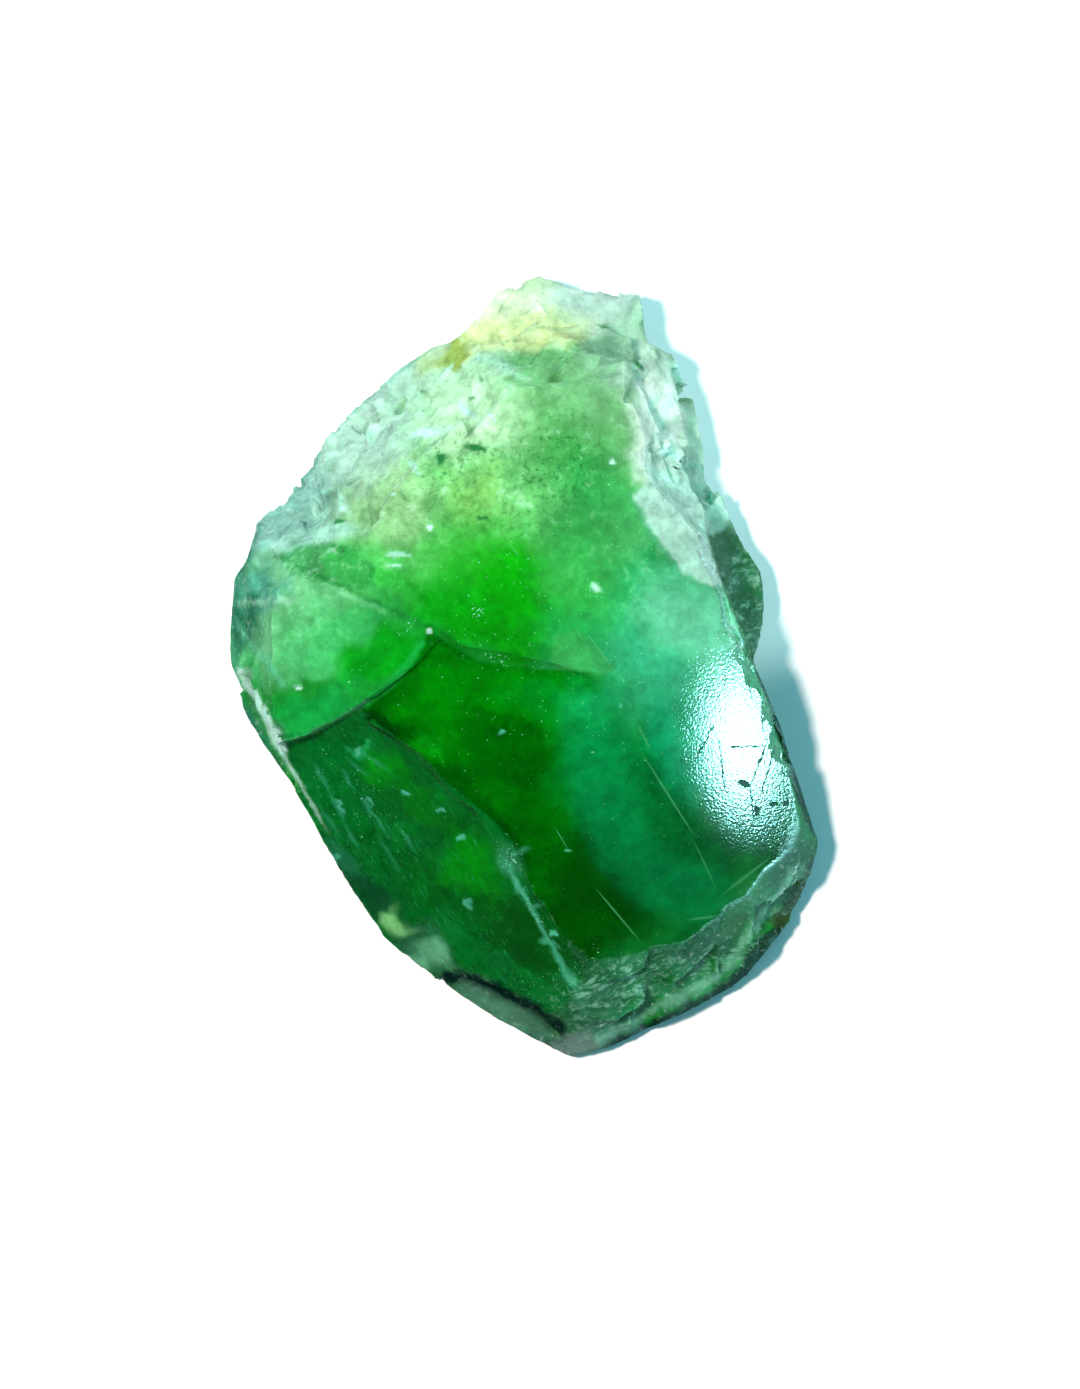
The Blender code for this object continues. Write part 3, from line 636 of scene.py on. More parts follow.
EDGE_CLOUDS = [
    ("dark green corner", (17.0, -11.8), (3.4, 2.0), -66, 0.5, 0.95, (2, 84, 28)),
    ("dark green under the crown", (10.6, -17.4), (3.2, 0.9), 22, 0.5, 0.85, (1, 82, 10)),
    ("green beside the tip", (5.6, -22.7), (1.5, 0.9), 20, 0.5, 0.95, (4, 82, 30)),
    ("green bottom band", (7.2, -19.6), (6.2, 1.9), 22, 0.5, 0.9, (11, 112, 46)),
    ("dark green bottom", (11.6, -18.0), (2.4, 0.8), 26, 0.5, 0.7, (1, 74, 6)),
    ("pale lower right facet", (14.2, -15.4), (2.4, 1.3), 44, 0.5, 0.85, (40, 124, 70)),
    ("brown tinge", (13.6, -16.4), (1.0, 0.7), 40, 0.6, 0.6, (56, 108, 56)),
    ("frost by the tip", (4.4, -22.4), (1.6, 1.2), 20, 0.5, 0.8, (44, 112, 72)),
    ("left sliver", (-16.6, -4.6), (2.8, 0.8), -60, 0.4, 0.9, (50, 116, 78)),
    ("green foot", (-10.8, -14.0), (3.4, 0.9), -50, 0.5, 0.8, (10, 80, 40)),
    ("dark green foot", (-7.0, -17.6), (2.6, 1.2), -42, 0.5, 0.8, (44, 110, 74)),
    ("pale foot", (-8.3, -16.6), (0.9, 0.8), 20, 0.5, 0.9, (138, 210, 130)),
    ("pale foot below", (-5.9, -18.8), (1.2, 0.7), -30, 0.6, 0.85, (120, 196, 150)),
    ("upper left edge", (-17.6, 6.9), (0.9, 1.0), 0, 0.5, 0.8, (70, 140, 100)),
    ("grey lip", (-0.6, -22.6), (4.8, 1.2), -36, 0.4, 0.95, (84, 134, 108)),
    ("dark lip", (1.2, -23.6), (1.2, 0.6), -36, 0.5, 0.8, (42, 94, 68)),
    ("lilac tip", (3.0, -24.2), (2.0, 1.0), 12, 0.5, 0.95, (118, 142, 134)),
]

# Crisp-edged patches of colour: name, plan, blur, strength, colour
PATCHES = [
    ("dark wedge", WEDGE_PLAN, 0.12, 0.7, (46, 152, 70)),
    ("pale patch", PALE_PATCH_PLAN, 0.15, 0.55, (68, 164, 82)),
    ("bite", BITE_PLAN, 0.12, 0.85, (182, 220, 206)),
    # The shelf's dark green is partly its own colour and partly painted shade of the low ledge under the
    # crown's edge
    ("shelf", SHELF_PLAN, 0.15, 0.9, (34, 94, 34)),
]
# Painted shade at the lower right foot: the shaded underside facet and the contact shadow
PAINTED_SHADE_PATCHES = [
    ("painted shade of the underside", SHADED_UNDERSIDE_PLAN, 0.12, 0.95, (40, 56, 12)),
    ("painted contact shadow", CONTACT_SHADOW_PLAN, 0.1, 0.97, (3, 38, 20)),
]

# Lines of colour along edges: name, points, width, strength, colour
COLOUR_LINES = [
    ("teal arc", [(4.6, -5.5), (5.2, -8.5), (6.4, -11.4), (8.6, -13.6), (11.5, -14.6)],
     2.8, 0.7, (5, 138, 72)),
    # Painted shade along the rolled-off right edge of the glossy face
    ("painted shade of the glossy face's rolled-off edge",
     [(14.9, 0.4), (15.9, -2.0), (16.6, -3.9), (17.3, -6.0), (18.0, -8.2), (18.5, -10.2)],
     0.6, 0.95, (2, 52, 30)),
    ("outline of the bite",
     [(6.9, 10.7), (7.5, 9.3), (8.4, 8.0), (9.3, 6.7), (10.1, 5.8), (11.2, 5.2), (12.7, 4.8)],
     0.3, 0.6, (90, 176, 130)),
    # Painted light: the bright rim where light comes through the flake's edge
    ("painted light along the flake's edge",
     [(-6.5, 1.6), (-7.0, 0.6), (-7.7, -0.3), (-8.6, -1.2), (-9.9, -2.1), (-11.8, -3.2), (-13.3, -4.0),
      (-14.9, -4.6)],
     0.32, 0.45, (31, 180, 84)),
    ("dark edge of the wedge", [(-16.2, 7.5), (-13.6, 6.1), (-11.0, 4.9), (-8.4, 3.7), (-6.2, 2.6)],
     0.2, 0.5, (26, 124, 50)),
    ("pale edge below the wedge", [(-15.6, 6.8), (-13.4, 5.6), (-11.0, 4.5), (-8.6, 3.4)],
     0.2, 0.35, (134, 214, 160)),
    ("curved line of the left edge", [(-18.5, 3.0), (-17.5, 1.6), (-16.3, 0.4), (-15.3, -1.0)],
     0.3, 0.6, (106, 206, 160)),
    ("line across the left edge", [(-18.3, 4.1), (-14.7, 4.2)], 0.3, 0.6, (166, 216, 186)),
    ("white lower left edge",
     [(-18.1, -0.3), (-17.5, -1.4), (-16.6, -2.6), (-16.0, -4.0), (-15.3, -5.2)],
     0.34, 0.85, (222, 250, 242)),
    ("dark outline on the left",
     [(-16.4, -5.3), (-17.9, -2.9), (-18.5, -0.4), (-18.6, 3.0), (-18.3, 5.6), (-17.4, 7.4), (-16.9, 9.2)],
     0.3, 0.6, (30, 120, 100)),
    ("dark outline of the rim",
     [(-15.2, 10.7), (-13.4, 13.2), (-12.6, 14.8), (-8.9, 18.2), (-6.0, 20.3)], 0.24, 0.45, (96, 168, 146)),
    ("teal corner of the slope", [(-9.9, -4.8), (-10.4, -5.8), (-11.2, -5.2)], 0.3, 0.5, (37, 190, 110)),
    ("teal lower edge of the slope", [(-4.6, -17.0), (-1.6, -18.8), (2.2, -21.4)], 1.0, 0.5, (5, 128, 48)),
    # Painted shade on the undercut wall above the lip
    ("painted shade of the wall above the lip", [(-5.0, -19.8), (-3.6, -19.9), (-1.5, -20.7), (0.8, -22.0), (2.4, -23.1)],
     0.62, 0.97, (0, 24, 22)),
    ("pale bottom rim",
     [(4.9, -23.9), (7.9, -22.1), (10.2, -21.0), (12.2, -19.9), (13.3, -18.8), (14.4, -17.0),
      (15.2, -15.9), (16.6, -14.5), (17.6, -12.7)],
     0.42, 0.75, (126, 196, 160)),
]

# Thin soft wisps: colour, then the centre, half length and width, turn and strength of each
WISPS = [
    ((84, 190, 148), [
        ((-0.9, -12.2), (1.0, 0.5), -56, 0.35), ((-1.2, -12.6), (0.6, 0.3), -70, 0.5),
        ((-0.2, -11.7), (0.5, 0.16), 20, 0.4), ((-0.6, -13.4), (1.2, 0.16), -62, 0.85),
        ((0.2, -14.8), (1.1, 0.13), -58, 0.85), ((0.9, -16.1), (1.0, 0.11), -60, 0.8),
        ((1.6, -17.4), (1.1, 0.12), -58, 0.75), ((2.4, -18.9), (1.1, 0.16), -60, 0.75),
        ((-0.2, -14.2), (0.3, 0.2), 0, 0.7), ((0.8, -15.2), (0.4, 0.14), 20, 0.6),
        ((1.3, -17.4), (0.24, 0.2), 0, 0.7), ((3.0, -19.9), (0.8, 0.3), -60, 0.6),
        ((3.6, -21.2), (0.9, 0.2), -70, 0.5), ((2.0, -17.6), (0.5, 0.1), -40, 0.5),
    ]),
    ((196, 240, 222), [
        ((-17.4, -1.6), (1.2, 0.16), -58, 0.8), ((-16.4, -3.4), (1.2, 0.2), -62, 0.9),
        ((-15.6, -5.2), (1.0, 0.16), -58, 0.9), ((-14.6, -6.9), (1.2, 0.12), -58, 0.8),
        ((-13.4, -9.0), (1.2, 0.10), -60, 0.6), ((-17.9, -0.4), (0.5, 0.3), 0, 0.6),
        ((-13.2, 10.4), (0.8, 0.2), -60, 0.8), ((-11.4, 10.4), (0.8, 0.16), -58, 0.8),
        ((-3.4, 16.1), (0.8, 0.2), -45, 0.9), ((-5.9, 14.9), (1.4, 0.3), 8, 0.7),
        ((-12.4, 8.5), (1.7, 0.5), 6, 0.8), ((-1.5, 19.2), (1.6, 0.3), -30, 0.6),
        ((-15.5, 7.7), (0.7, 0.4), 0, 0.7), ((9.2, 11.9), (1.5, 0.3), -25, 0.8),
        ((9.0, 16.0), (1.4, 0.3), 68, 0.8), ((10.0, 18.8), (0.8, 0.5), -30, 0.8),
    ]),
    ((64, 184, 140), [
        ((-12.9, -7.0), (0.8, 0.12), -60, 0.5), ((-11.9, -8.9), (0.7, 0.14), -62, 0.7),
        ((-11.2, -7.2), (0.6, 0.10), -60, 0.5), ((-10.6, -6.4), (0.7, 0.12), -40, 0.4),
        ((-10.0, -8.8), (0.6, 0.12), -62, 0.6), ((-9.2, -9.9), (0.8, 0.10), -58, 0.4),
        ((-11.0, -10.8), (0.7, 0.12), -60, 0.4), ((-8.6, -11.9), (1.0, 0.10), -60, 0.3),
        ((-7.4, -11.0), (0.8, 0.10), -56, 0.4), ((-12.4, -9.8), (0.9, 0.12), -56, 0.4),
        ((-11.6, -12.2), (1.2, 0.4), -50, 0.3), ((-9.4, -6.0), (0.8, 0.10), -36, 0.4),
    ]),
    ((8, 160, 18), [
        ((-6.0, -4.9), (0.9, 0.6), -30, 0.3), ((-5.6, -5.3), (0.3, 0.3), 0, 0.6),
        ((-6.5, -4.7), (0.4, 0.2), 20, 0.6), ((-5.2, -5.8), (0.5, 0.14), -60, 0.4),
    ]),
]

# Small flecks: colour, then the centre, half length and width, and turn of each
FLECKS = [
    ((204, 250, 236), [
        ((-2.6, 19.5), (0.4, 0.24), 0), ((-3.7, 16.2), (0.5, 0.12), -45), ((-6.3, 14.9), (0.8, 0.2), 10),
        ((-8.2, 11.0), (0.17, 0.14), 0), ((-13.4, 10.1), (0.4, 0.1), -60), ((-11.5, 10.2), (0.4, 0.1), -55),
        ((-15.6, 7.8), (0.4, 0.2), 0), ((-5.9, 8.8), (0.24, 0.14), 0), ((-5.9, 2.3), (0.19, 0.13), 0),
        ((-4.9, 19.0), (0.26, 0.18), 0), ((-2.0, 15.8), (0.4, 0.1), -50), ((10.0, 18.8), (0.6, 0.3), -30),
        ((9.6, 11.6), (0.7, 0.18), -25), ((5.6, 12.9), (0.24, 0.12), -30), ((10.6, 11.0), (0.5, 0.16), -20),
        ((8.2, 16.6), (0.7, 0.16), 60), ((9.2, 13.6), (0.7, 0.36), -30), ((-14.3, -1.3), (0.15, 0.12), 0),
    ]),
    ((176, 226, 204), [
        ((-11.9, 8.6), (1.1, 0.34), 5), ((-7.9, 7.1), (0.7, 0.14), 0), ((-8.0, 6.3), (0.5, 0.1), -4),
        ((-9.8, 14.6), (0.6, 0.16), -50), ((-6.9, 12.6), (0.6, 0.16), -55), ((4.6, 5.0), (0.3, 0.2), -40),
    ]),
    ((84, 190, 150), [
        ((-10.5, -5.4), (0.26, 0.16), 60), ((-11.7, -8.9), (0.5, 0.12), -60), ((-9.8, -8.6), (0.4, 0.1), -60),
        ((-7.5, -8.0), (0.34, 0.15), -40), ((-5.2, -9.1), (0.26, 0.15), -20), ((-4.0, -10.9), (0.24, 0.15), 0),
        ((-12.0, -12.1), (0.24, 0.14), 30), ((-3.5, -15.1), (0.2, 0.36), 30), ((1.9, -16.9), (0.24, 0.2), 0),
        ((-1.4, -4.2), (0.15, 0.14), 0), ((2.9, -11.6), (0.13, 0.13), 0), ((6.1, -2.4), (0.14, 0.1), 0),
    ]),
    ((48, 128, 70), [
        ((-5.2, 13.2), (0.36, 0.4), 0), ((-3.0, 13.8), (0.6, 0.2), -20), ((-3.2, 17.0), (0.26, 0.2), 0),
        ((-11.7, 9.2), (0.4, 0.14), 0), ((-5.0, 12.2), (0.26, 0.16), 0), ((-2.6, 9.4), (0.5, 0.13), 0),
        ((5.2, 21.8), (0.5, 0.1), 50), ((7.3, 19.1), (0.7, 0.14), -62),
    ]),
]

# Clusters of tiny bright specks: centre, half length and width, turn, softness, strength
SPARKLING_CLOUDS = [
    ((-2.9, 3.5), (0.45, 0.6), 0, 0.5, 1.0),
    ((-1.6, 0.5), (1.2, 0.4), -22, 0.6, 0.8),
    ((4.5, 4.9), (0.8, 0.6), -40, 0.6, 0.8),
    ((7.6, 1.0), (0.7, 0.4), 30, 0.6, 0.6),
    ((-0.4, 10.0), (0.7, 0.3), 30, 0.6, 0.7),
    ((-10.9, -0.9), (1.4, 0.3), 40, 0.6, 0.6),
    ((-7.6, 2.4), (0.8, 0.3), 35, 0.6, 0.6),
    ((-0.9, -12.1), (1.0, 0.8), -50, 0.6, 0.8),
    ((0.4, -15.2), (3.0, 0.3), -60, 0.6, 0.7),
    ((-17.0, -2.2), (2.4, 0.4), -58, 0.6, 0.9),
    ((4.0, -20.0), (6.0, 2.0), 16, 0.5, 0.4),
    ((-10.6, -9.0), (2.4, 5.0), 34, 0.6, 0.38),
    ((3.6, 4.6), (14.0, 12.0), -40, 0.5, 0.22),
]

# White crumbs along broken edges: points, width, strength
CRUMB_LINES = [
    ([(-18.1, -0.3), (-16.6, -2.6), (-15.3, -5.2)], 0.5, 0.8),
    ([(7.0, 13.4), (11.0, 10.8)], 0.6, 0.6),
    ([(9.4, 20.4), (10.6, 17.8)], 0.9, 0.7),
    ([(-16.2, 8.6), (-13.6, 12.0), (-11.0, 15.6)], 0.6, 0.5),
    ([(3.6, -20.2), (8.0, -19.0), (12.6, -17.4)], 1.0, 0.25),
    ([(4.8, -23.0), (8.0, -21.6), (11.0, -20.2)], 0.7, 0.4),
]
MILKY_CLOUDS = [
    ((-6.0, 14.4), (12.0, 4.6), 46, 0.5, 1.0),
    ((0.6, 12.4), (4.0, 4.0), 0, 0.5, 0.8),
    ((-14.4, 3.4), (3.2, 3.0), 0, 0.5, 0.5),
    ((8.8, 14.0), (2.6, 6.0), 14, 0.5, 0.9),
    ((14.0, 4.6), (1.5, 4.4), 0, 0.3, 1.0),
    ((6.6, 6.4), (3.6, 3.0), -40, 0.7, 0.35),
]
SPECKLED_CLOUDS = [
    ((-5.0, 11.0), (4.0, 2.4), 0, 0.6, 0.5),
    ((2.0, 13.2), (3.0, 3.0), 0, 0.5, 1.0),
    ((-3.4, 13.2), (3.0, 1.4), -20, 0.6, 0.8),
    ((-0.6, 9.4), (2.4, 1.4), 0, 0.6, 0.6),
    ((14.4, 4.6), (1.8, 4.0), 0, 0.3, 0.9),
]
FROSTED_CLOUDS = [
    ((14.2, 4.0), (1.4, 3.6), 0, 0.3, 1.0),
    ((6.4, -20.2), (4.6, 1.5), 18, 0.4, 1.0),
    ((12.4, -18.6), (3.2, 0.9), 32, 0.4, 0.9),
    ((4.2, -22.0), (1.4, 1.6), 0, 0.5, 0.8),
]
GLOSS_CLOUD = ((13.6, -4.8), (7.6, 4.6), -66, 0.4)
SOFT_WANDER = (3.0, 1.1)
RAGGED_WANDER = (0.6, 0.22)
WANDER_SEED = 7


def colour(red, green, blue):
    """A colour as it looks on a screen, from 0 to 255, as a shader's linear one."""
    parts = []
    for value in (red, green, blue):
        value /= 255
        parts.append(value / 12.92 if value <= 0.04045 else ((value + 0.055) / 1.055) ** 2.4)
    return (*parts, 1.0)


def wandering(spots, size, reach):
    """The spots, moved sideways by noise, so that no cloud, patch or line of colour has a clean edge."""
    return np.array([
        spot + reach * np.array(noise.turbulence_vector(Vector(spot) / size, 4, False)) for spot in spots
    ])


def cloud(spots, centre, size, turn, softness):
    """1 inside a soft-edged oval seen from above, and 0 outside it."""
    x, y = spots[:, 0] - centre[0], spots[:, 1] - centre[1]
    cosine, sine = math.cos(math.radians(turn)), math.sin(math.radians(turn))
    along = (x * cosine + y * sine) / size[0]
    across = (y * cosine - x * sine) / size[1]
    return 1.0 - ramp(np.hypot(along, across), 1.0 - softness, 1.0 + softness)


def over(paint, share, tint):
    """The paint with another colour laid over its share of the surface."""
    return paint + share[:, None] * (np.asarray(tint) - paint)


def clouded(spots, ground, clouds):
    paint = np.tile(ground, (len(spots), 1)) if np.ndim(ground) == 1 else ground
    for _name, centre, size, turn, softness, strength, tint in clouds:
        paint = over(paint, strength * cloud(spots, centre, size, turn, softness), colour(*tint))
    return paint


def painting(spots, facing):
    """The colour at each spot, as the photograph shows it from above, with painted shade and painted light in
    some places.
    """
    noise.seed_set(WANDER_SEED)
    soft, ragged = wandering(spots, *SOFT_WANDER), wandering(spots, *RAGGED_WANDER)
    paint = clouded(soft, colour(*CROWN_GROUND), CROWN_CLOUDS)
    for _name, plan, blur, strength, tint in PATCHES:
        share = strength * ramp(depth_inside(plan, ragged), -blur, blur)
        paint = over(paint, share, colour(*tint))
    below = clouded(soft, colour(*BELOW_STEP_GROUND), BELOW_STEP_CLOUDS)
    window = clouded(soft, colour(*WINDOW_GROUND), WINDOW_CLOUDS)
    share = ramp(depth_inside(WINDOW_PLAN, ragged), -0.2, 0.2) * ramp(-soft[:, 0], -3.4, -0.4)
    below = over(below, share, window)
    share = ramp(depth_inside(STEP_PLAN, spots), -0.1, 0.15) * ramp(-soft[:, 0], -8.0, -3.4)
    paint = over(paint, share, below)
    paint = over(paint, slope_share(spots, facing), clouded(soft, colour(*SLOPE_GROUND), SLOPE_CLOUDS))
    paint = clouded(soft, paint, EDGE_CLOUDS)
    for _name, points, width, strength, tint in COLOUR_LINES:
        share = strength * (1.0 - ramp(distance_to(points, ragged), 0.3 * width, width))
        paint = over(paint, share, colour(*tint))
    # Lays on the painted shade of the underside and the painted contact shadow
    for _name, plan, blur, strength, tint in PAINTED_SHADE_PATCHES:
        share = strength * ramp(depth_inside(plan, ragged), -blur, blur)
        paint = over(paint, share, colour(*tint))
    wispy = (spots + ragged) / 2
    for tint, wisps in WISPS:
        for centre, size, turn, strength in wisps:
            paint = over(paint, strength * cloud(wispy, centre, size, turn, 0.9), colour(*tint))
    for tint, flecks in FLECKS:
        for centre, size, turn in flecks:
            paint = over(paint, cloud(ragged, centre, size, turn, 0.4), colour(*tint))
    return paint


def mark(body, name, share):
    attribute = body.data.attributes.new(name, "FLOAT", "POINT")
    attribute.data.foreach_set("value", share)


def highest_cloud(spots, clouds):
    """The strongest of some clouds at each spot."""
    share = np.zeros(len(spots))
    for centre, size, turn, softness, strength in clouds:
        share = np.maximum(share, strength * cloud(spots, centre, size, turn, softness))
    return share


def mark_surfaces(body):
    """Keeps with the mesh its colours, and where it is broken, streaked, glossy, milky and frosted."""
    spots, facing = spots_of(body.data) / MM, normals_of(body.data)
    paint = body.data.color_attributes.new("paint", "FLOAT_COLOR", "POINT")
    paint.data.foreach_set("color", painting(spots, facing).ravel())
    mark(body, "broken", 1.0 - polished_share(spots, facing))
    mark(body, "streaks", slope_share(spots, facing))
    mark(body, "gloss", cloud(spots, *GLOSS_CLOUD))
    crumbs = np.zeros(len(spots))
    for points, width, strength in CRUMB_LINES:
        near = strength * (1.0 - ramp(distance_to(points, spots), 0.0, width))
        crumbs = np.maximum(crumbs, near)
    mark(body, "crumbs", crumbs)
    mark(body, "sparkle", highest_cloud(spots, SPARKLING_CLOUDS))
    mark(body, "milk", highest_cloud(spots, MILKY_CLOUDS) * (1.0 - slope_share(spots, facing)))
    mark(body, "specks", highest_cloud(spots, SPECKLED_CLOUDS))
    mark(body, "frosted", highest_cloud(spots, FROSTED_CLOUDS))


# Materials

WHITE_MILK = (220, 248, 232)
DEEP_FLECK = (20, 112, 44)
FROST = (224, 242, 234)
CRUMB = (206, 236, 224)
GLINT = (150, 232, 190)
STREAK = (52, 178, 126)
STREAK_SHADE = (0, 58, 34)
BAND_FROST = (152, 224, 190)
SCRATCH = (92, 190, 130)
ABSORBED = (0.12, 0.86, 0.34, 1.0)
ABSORPTION = 110.0

# Scratches, seen from above in millimetres: from, to, width
PALE_SCRATCHES = [
    ((7.2, -5.0), (11.2, -11.3), 0.10),
    ((10.6, -10.6), (12.4, -14.4), 0.06),
    ((4.3, -13.7), (7.8, -17.9), 0.09),
    ((7.1, -3.4), (8.1, -5.4), 0.08),
    ((10.2, -16.1), (12.9, -15.8), 0.12),
    ((12.5, -14.6), (15.9, -12.0), 0.14),
    ((-1.0, 8.0), (-0.3, 6.9), 0.06),
    ((-0.1, 9.4), (0.6, 7.4), 0.06),
    ((3.9, 2.3), (5.9, -0.5), 0.08),
    ((1.9, -10.0), (2.9, -11.7), 0.06),
]
SCRATCHES_AND_EDGE_SHADE = [
    # The first three paint the shade of the glossy face's rolled-off right edge; the rest are dark scratches
    # and pits
    ((14.6, 0.5), (15.9, -2.7), 0.26),
    ((15.6, -2.2), (16.9, -5.8), 0.28),
    ((16.7, -5.2), (18.1, -9.8), 0.28),
    ((12.1, -3.6), (10.6, -6.4), 0.045),
    ((12.4, -4.5), (12.8, -8.0), 0.055),
    ((15.6, -4.5), (14.4, -7.6), 0.05),
    ((16.1, -4.7), (15.0, -8.5), 0.05),
    ((12.8, -5.1), (15.6, -5.0), 0.05),
    ((12.8, -0.3), (12.7, -1.5), 0.045),
    ((14.2, -0.5), (14.5, -2.2), 0.04),
    ((14.4, -7.6), (14.7, -10.0), 0.05),
    ((13.7, -7.3), (14.3, -7.5), 0.2),
    ((14.8, -8.9), (14.9, -9.4), 0.16),
    ((15.8, -8.8), (16.1, -8.7), 0.16),
    ((16.6, -8.8), (16.8, -8.6), 0.15),
]


def put(tree, kind, inputs=None, **settings):
    """Adds a node, sets it up, and links or sets its inputs."""
    made = tree.nodes.new(kind)
    for name, value in settings.items():
        setattr(made, name, value)
    for name, value in (inputs or {}).items():
        if isinstance(value, bpy.types.NodeSocket):
            tree.links.new(value, made.inputs[name])
        else:
            made.inputs[name].default_value = value
    return made


def calculate(tree, operation, *values, **settings):
    inputs = dict(enumerate(values))
    return put(tree, "ShaderNodeMath", inputs, operation=operation, **settings).outputs[0]


def calculate_vector(tree, operation, *values, scale=None):
    inputs = dict(enumerate(values))
    if scale is not None:
        inputs["Scale"] = scale
    made = put(tree, "ShaderNodeVectorMath", inputs, operation=operation)
    return made.outputs["Value" if operation in ("LENGTH", "DOT_PRODUCT", "DISTANCE") else "Vector"]


def rise(tree, value, low, high, start=0.0, end=1.0):
    """A soft rise from start to end as the value goes from low to high."""
    inputs = {"Value": value, "From Min": low, "From Max": high, "To Min": start, "To Max": end}
    return put(tree, "ShaderNodeMapRange", inputs, interpolation_type="SMOOTHSTEP").outputs[0]


def blend(tree, share, under, upper, how="MIX"):
    inputs = {0: share, 6: under, 7: upper}
    made = put(tree, "ShaderNodeMix", inputs, data_type="RGBA", blend_type=how)
    return made.outputs[2]


def cloudiness(tree, position, size, detail=3.0, roughness=0.55, distortion=0.0):
    inputs = {
        "Vector": position, "Scale": 1.0 / size, "Detail": detail, "Roughness": roughness,
        "Distortion": distortion,
    }
    return put(tree, "ShaderNodeTexNoise", inputs).outputs["Fac"]


def share_of(tree, name):
    return put(tree, "ShaderNodeAttribute", attribute_name=name).outputs["Fac"]


def grain_along(tree, position, turn, size, detail=2.0, distortion=0.0):
    """Noise in thin wisps that lie along a direction seen from above."""
    turned = put(tree, "ShaderNodeMapping", {
        "Vector": position, "Rotation": (0.0, 0.0, math.radians(turn)), "Scale": size,
    }, vector_type="TEXTURE").outputs[0]
    return cloudiness(tree, turned, 1.0, detail=detail, roughness=0.6, distortion=distortion)


def scratched(tree, plan, scratches):
    """1 on any of the scratches, which are thin ovals seen from above."""
    whole = 0.0
    for (ax, ay), (bx, by), width in scratches:
        own = put(tree, "ShaderNodeMapping", {
            "Vector": plan, "Location": ((ax + bx) / 2, (ay + by) / 2, 0.0),
            "Rotation": (0.0, 0.0, math.atan2(by - ay, bx - ax)),
            "Scale": (math.hypot(bx - ax, by - ay) / 2 + width, width, 1.0),
        }, vector_type="TEXTURE").outputs[0]
        line = put(tree, "ShaderNodeTexGradient", {"Vector": own}, gradient_type="SPHERICAL").outputs[1]
        whole = calculate(tree, "MAXIMUM", whole, line)
    return rise(tree, whole, 0.0, 0.6)


